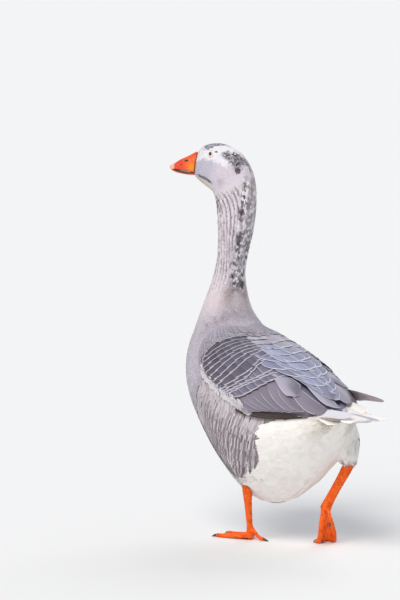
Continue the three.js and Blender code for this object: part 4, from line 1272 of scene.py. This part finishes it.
def shape_upper_bill(mesh):
    places, normals = points_of(mesh), normals_of(mesh)
    ahead, left, height = in_head_line(places)
    hole = ((ahead - NOSTRIL["ahead"]) / NOSTRIL["long"]) ** 2 + ((height - NOSTRIL["height"] + 0.12 * (ahead - NOSTRIL["ahead"])) / NOSTRIL["high"]) ** 2
    sink = NOSTRIL["deep"] * np.exp(-(hole**1.5)) - 0.5 * np.exp(-((hole - 2.2) ** 2))
    above = height - gape_height(ahead)
    comb = 0.35 * np.sin(2 * np.pi * ahead / LAMELLA_GAP) * np.exp(-(((above - 0.6) / 1.1) ** 2)) * (ahead < 224)
    lip = 0.45 * np.exp(-(((above - 3.0) / 1.2) ** 2))
    wrinkle = 0.12 * ripple(places, 0.004, 32)
    ridge = 0.5 * np.exp(-((left / 2.5) ** 2)) * (ahead < 222)
    put_points(mesh, places + normals * ((comb - sink + lip + wrinkle + ridge) * MM)[:, None])


def horn_material(name, roughness, bump_scale, bump_size, **sockets):
    """Horn: its own painted colour, fine growth grain and a low soft gloss."""
    material, nodes, links, shader = new_material(name, roughness, **sockets)
    tint = nodes.new("ShaderNodeAttribute")
    tint.attribute_name = "Plumage"
    where = nodes.new("ShaderNodeTexCoord")
    grain = nodes.new("ShaderNodeTexNoise")
    grain.inputs["Scale"].default_value, grain.inputs["Detail"].default_value = bump_scale, 5
    links.new(where.outputs["Object"], grain.inputs["Vector"])
    tone = nodes.new("ShaderNodeMapRange")
    tone.inputs["To Min"].default_value, tone.inputs["To Max"].default_value = 0.8, 1.15
    links.new(grain.outputs["Fac"], tone.inputs["Value"])
    blend = nodes.new("ShaderNodeMix")
    blend.data_type, blend.blend_type = "RGBA", "MULTIPLY"
    blend.inputs["Factor"].default_value = 1
    links.new(tint.outputs["Color"], blend.inputs["A"])
    links.new(tone.outputs["Result"], blend.inputs["B"])
    links.new(blend.outputs["Result"], shader.inputs["Base Color"])
    bump = nodes.new("ShaderNodeBump")
    bump.inputs["Strength"].default_value, bump.inputs["Distance"].default_value = 0.35, bump_size
    links.new(grain.outputs["Fac"], bump.inputs["Height"])
    links.new(bump.outputs["Normal"], shader.inputs["Normal"])
    return material


bill_horn = horn_material("bill_horn", 0.42, 700, 0.0003, Coat_Weight=0.12)
for name, node, slot in (
    ("upper_mandible", "bill_upper", "bill_horn"),
    ("lower_mandible", "bill_lower", "bill_horn"),
    ("bill_nail_horn", "bill_nail", "nail_horn"),
):
    mesh = horn_mesh(BILL_VOXEL, 4, node)
    if node == "bill_upper":
        shape_upper_bill(mesh)
    colours = bill_colours(mesh)
    if node == "bill_nail":
        colours = mix(colours, srgb(238, 190, 168), np.full(len(colours), 0.75))
    paint(mesh, "Plumage", colours)
    add_piece(name, mesh, bill_horn, slot, node)

# ---- Eyes ----
# Dark brown eyes with round pupils sit deep between bare orange-pink lids, wet and highly polished.
EYE = {"ahead": 150, "height": 748, "side": 16.2, "radius": 7.6}
EYE_BROWN, EYE_BLACK = srgb(30, 16, 12), srgb(5, 4, 4)
LID_ORANGE = srgb(236, 219, 213)
LID_OPEN, LID_OUT, LID_RIM = 3.4, 9.0, 0.3


def eye_frame(side):
    """An eye's middle, the way it looks, and the ways forward and up across it."""
    middle = turned(EYE["ahead"], side * EYE["side"], EYE["height"], 1)
    toward = turned(EYE["ahead"] + 1, side * EYE["side"], EYE["height"], 1) - middle
    out = turned(EYE["ahead"], side * (EYE["side"] + 1), EYE["height"], 1) - middle
    forward, out = unit(toward), unit(out)
    out = unit(out - forward * 0.1 + np.array([0, 0, 0.34]))
    forward = unit(forward - out * dot(forward, out))
    return middle, out, forward, np.cross(forward, out) * (1 if np.cross(forward, out)[2] > 0 else -1)


eye_wet, nodes, links, shader = new_material("eye_wet", 0.16, Specular_IOR_Level=0.35)
tint = nodes.new("ShaderNodeAttribute")
tint.attribute_name = "Plumage"
links.new(tint.outputs["Color"], shader.inputs["Base Color"])
lid_skin = horn_material("lid_skin", 0.6, 1500, 0.0002)
for side, label in ((1, "left"), (-1, "right")):
    middle, out, forward, rising = eye_frame(side)
    ball = bmesh.new()
    bmesh.ops.create_uvsphere(ball, u_segments=40, v_segments=32, radius=EYE["radius"] * MM)
    mesh = bpy.data.meshes.new(f"eyeball_{label}")
    ball.to_mesh(mesh)
    ball.free()
    local = points_of(mesh)
    spun = np.stack([local @ np.eye(3)[0], local @ np.eye(3)[1], local @ np.eye(3)[2]], -1)
    basis = np.stack([forward, rising, out])
    if np.linalg.det(basis) < 0:
        basis[0] = -basis[0]
    put_points(mesh, spun @ basis + middle)
    off = np.hypot(local[:, 0], local[:, 1]) / MM
    colour = mix(np.repeat(EYE_BROWN[None], len(local), 0), EYE_BLACK, 1 - rise(2.3, 2.7, off))
    colour = mix(colour, EYE_BLACK, rise(4.4, 5.0, off))
    paint(mesh, "Plumage", colour)
    add_piece(f"eyeball_{label}", mesh, eye_wet, "eye", f"eye_{label}")

    # The lids are a rolled rim of bare skin round the eye.
    turns, across = 56, 9
    angle = np.arange(turns) / turns * 2 * np.pi
    profile = np.linspace(0, 1, across)
    spots = []
    around_eye = np.cos(angle)[:, None] * forward + np.sin(angle)[:, None] * rising
    rim = [skin_tree.ray_cast(middle + way * LID_OUT * MM + out * 0.03, -out)[0] for way in around_eye]
    seat = np.array([dot(np.array(spot) - middle, out) / MM if spot is not None else 2.0 for spot in rim]) + 0.3
    for t in profile:
        reach = LID_OPEN + (LID_OUT - LID_OPEN) * t
        long = reach * (0.74 + 0.26 * t)
        high = reach
        off = np.hypot(np.cos(angle) * long, np.sin(angle) * high)
        over_ball = np.sqrt(np.maximum(EYE["radius"] ** 2 - off**2, 0)) + 0.4 + LID_RIM * math.sin(math.pi * min(1, t * 3))
        lift = 0.5 * (over_ball + seat + np.sqrt((over_ball - seat) ** 2 + 0.6 * t))
        lift = lift + 0.1 * np.sin(angle * 17 + 3 * t)
        spots.append(
            middle + (np.cos(angle) * long)[:, None] * forward * MM + (np.sin(angle) * high)[:, None] * rising * MM + (lift * MM)[:, None] * out
        )
    outer = np.stack(spots)
    inner = outer - out * 0.0008
    places = np.concatenate([outer.reshape(-1, 3), inner.reshape(-1, 3)])
    index = np.arange(across * turns).reshape(across, turns)
    faces = []
    for layer, flip in ((0, False), (across * turns, True)):
        for a in range(across - 1):
            for b in range(turns):
                quad = [index[a, b], index[a + 1, b], index[a + 1, (b + 1) % turns], index[a, (b + 1) % turns]]
                faces.append([int(v) + layer for v in (quad[::-1] if flip else quad)])
    for edge_row, flip in ((0, True), (across - 1, False)):
        for b in range(turns):
            one, two = int(index[edge_row, b]), int(index[edge_row, (b + 1) % turns])
            quad = [one, two, two + across * turns, one + across * turns]
            faces.append(quad[::-1] if not flip else quad)
    mesh = bpy.data.meshes.new(f"lids_{label}")
    mesh.from_pydata([tuple(p) for p in places], [], faces)
    form = bmesh.new()
    form.from_mesh(mesh)
    bmesh.ops.recalc_face_normals(form, faces=form.faces)
    form.to_mesh(mesh)
    form.free()
    ring = np.tile(np.repeat(np.arange(across), turns), 2)
    shade = mix(np.repeat(LID_ORANGE[None], len(places), 0), FACE_WHITE, 0.85 * rise(1.5, 5.5, ring))
    shade = mix(shade, srgb(90, 60, 52), ring == 0)
    paint(mesh, "Plumage", shade)
    add_piece(f"lids_{label}", mesh, lid_skin, "leg_skin")

# ---- Legs and feet ----
# Bare scaly skin over bone and sinew, orange-red, with plates down the front of each shank and toe, small
# round scales at the sides, wrinkles at the hock and a pebbled web between the front toes.
LEG_VOXEL = 0.00095
# Orange skin, a red for its random patches and its painted shade, and the colour of its painted highlight.
LEG_ORANGE, LEG_RED_AND_HOLLOW_SHADE, LEG_HIGHLIGHT = srgb(246, 98, 0), srgb(200, 52, 0), srgb(250, 146, 66)
PLATE_GAP = 4.6
KNUCKLE = 9.5  # radius of the round joint between shank and foot
LEGS = {
    "left": ((-24, 62, 126), (5, 34, 11)),
    "right": ((-190, -64, 172), (-134, -45, 70)),
}


def leg_mesh(label):
    top, foot = (placed(np.array(p, float)) for p in LEGS[label])
    form = bmesh.new()
    form.from_mesh(merged_copy(f"shank_{label}", f"foot_{label}"))
    knuckle = bmesh.ops.create_icosphere(form, subdivisions=3, radius=KNUCKLE * MM)["verts"]
    bmesh.ops.translate(form, verts=knuckle, vec=foot + np.array([0, 0, -0.003]) * (label == "right"))
    mesh = bpy.data.meshes.new(f"leg_{label}")
    form.to_mesh(mesh)
    form.free()
    mesh = remeshed(mesh, LEG_VOXEL)
    relax(mesh, 3)
    axis = unit(foot - top)
    sharp = points_of(mesh)
    relax(mesh, 90)
    bend = np.exp(-((np.linalg.norm(sharp - foot, axis=1) / MM / 22) ** 2)) * rise(5, 14, sharp[:, 2] / MM)
    put_points(mesh, mix(sharp, points_of(mesh), bend))
    places, normals = points_of(mesh), normals_of(mesh)
    below = (places - top) @ axis / MM
    length = np.linalg.norm(foot - top) / MM
    on_shank = 1 - rise(length - 14, length + 2, below)
    front = rise(0.1, 0.5, normals @ np.array([0, -1, 0.0]))
    plates = np.abs(np.sin(np.pi * below / PLATE_GAP))
    seam = 1 - rise(0, 0.35, plates)
    hock = np.exp(-(((below - 16) / 11) ** 2))
    wrinkles = np.sin(2 * np.pi * below / 2.6 + 2 * ripple(places, 0.02, 71))
    pebble = ripple(places, 0.0042, 72)
    upward = rise(0.2, 0.6, normals[:, 2])
    toe_bands = np.abs(np.sin(np.pi * np.linalg.norm(places - foot, axis=1) / MM / 4.0))
    toe_seam = (1 - rise(0, 0.35, toe_bands)) * (1 - on_shank) * upward
    push = 0.32 * pebble * (1 - on_shank * front) - 0.5 * seam * front * on_shank - 0.35 * toe_seam + 0.4 * hock * wrinkles * on_shank
    grounded = rise(0.6, 2.2, places[:, 2] / MM)
    put_points(mesh, places + normals * (push * grounded * MM)[:, None])
    colour = np.repeat(LEG_ORANGE[None], len(places), 0)
    # Redder in random patches, and painted darker as shade in the seams between the plates, the grooves across the toes
    # and the hollows between pebbles.
    colour = mix(colour, LEG_RED_AND_HOLLOW_SHADE, 0.5 * rise(-0.2, 1.1, ripple(places, 0.02, 73)) + 0.5 * seam * front * on_shank + 0.5 * toe_seam + 0.3 * (pebble < -0.5))
    # Painted highlight on the tops of the pebbles and on the sides of the feet that face the bird's right.
    colour = mix(colour, LEG_HIGHLIGHT, 0.45 * rise(0.5, 1.2, pebble) + 0.25 * rise(0.3, 0.9, -normals[:, 0]) * (1 - on_shank))
    # Within about two millimetres of the floor the skin is painted dark brown.
    colour = mix(colour, srgb(120, 60, 34), 0.6 * (1 - grounded))
    paint(mesh, "Plumage", colour)
    return mesh


leg_skin = horn_material("leg_skin", 0.5, 900, 0.0003, Specular_IOR_Level=0.28)
for label in LEGS:
    add_piece(f"leg_{label}", leg_mesh(label), leg_skin, "leg_skin", f"shank_{label}", f"foot_{label}")

# ---- Claws ----
# Blunt dark horn claws, one on each toe, worn flat beneath and mottled paler.
claw_horn = horn_material("claw_horn", 0.35, 1200, 0.0002, Coat_Weight=0.2)
for label in LEGS:
    for toe in ("inner", "middle", "outer", "hind"):
        mesh = horn_mesh(0.00045, 3, f"claw_{label}_{toe}")
        places = points_of(mesh)
        grow = np.linalg.norm(places - places.mean(0), axis=1)
        colour = np.repeat(srgb(74, 56, 46)[None], len(places), 0)
        paint(mesh, "Plumage", mix(colour, srgb(150, 118, 96), 0.5 * rise(0.2, 1.4, ripple(places, 0.006, 81))))
        add_piece(f"horn_claw_{label}_{toe}", mesh, claw_horn, "claw_horn", f"claw_{label}_{toe}")

# ---- Floor, light and camera ----
# A plain pale matt floor that runs on past every view, one broad soft key light and a weaker fill.
CAMERA_PLACE = (5.2396, 7.1918, 1.4108)
CAMERA_WAY = np.array([-0.570434, -0.814665, -0.104528])
LENS, SENSOR = 276.9, 36


def look(obj, place, way):
    """Stands an object at a place and points its -Z the given way."""
    obj.location = place
    obj.rotation_euler = Vector(way).to_track_quat("-Z", "Y").to_euler()


camera = bpy.data.objects.new("camera", bpy.data.cameras.new("camera"))
bpy.context.scene.collection.objects.link(camera)
camera.data.lens, camera.data.sensor_width = LENS, SENSOR
camera.data.clip_end = 60
look(camera, CAMERA_PLACE, CAMERA_WAY)
bpy.context.scene.camera = camera

floor_mesh = bpy.data.meshes.new("floor")
floor_mesh.from_pydata([(-300, -300, 0), (300, -300, 0), (300, 300, 0), (-300, 300, 0)], [], [(0, 1, 2, 3)])
floor = bpy.data.objects.new("floor", floor_mesh)
bpy.context.scene.collection.objects.link(floor)
material, nodes, links, shader = new_material("floor_matte", 0.9)
grain = nodes.new("ShaderNodeTexNoise")
grain.inputs["Scale"].default_value = 6
tone = nodes.new("ShaderNodeMapRange")
tone.inputs["To Min"].default_value, tone.inputs["To Max"].default_value = 0.78, 0.81
links.new(grain.outputs["Fac"], tone.inputs["Value"])
links.new(tone.outputs["Result"], shader.inputs["Base Color"])
floor_mesh.materials.append(material)

for name, place, strength, spread, warmth in (
    ("key", (3.6, 2.2, 4.2), 2.3, 34, (1, 0.97, 0.92)),
    ("rim", (-3.4, -2.0, 3.0), 0.8, 40, (0.92, 0.95, 1)),
):
    lamp = bpy.data.objects.new(name, bpy.data.lights.new(name, "SUN"))
    bpy.context.scene.collection.objects.link(lamp)
    lamp.data.energy, lamp.data.angle, lamp.data.color = strength, math.radians(spread), warmth
    look(lamp, place, -np.array(place))

world = bpy.data.worlds.new("studio")
world.use_nodes = True
world.node_tree.nodes["Background"].inputs["Color"].default_value = (0.86, 0.89, 0.94, 1)
world.node_tree.nodes["Background"].inputs["Strength"].default_value = 0.55
bpy.context.scene.world = world
bpy.context.scene.view_settings.view_transform = "Standard"
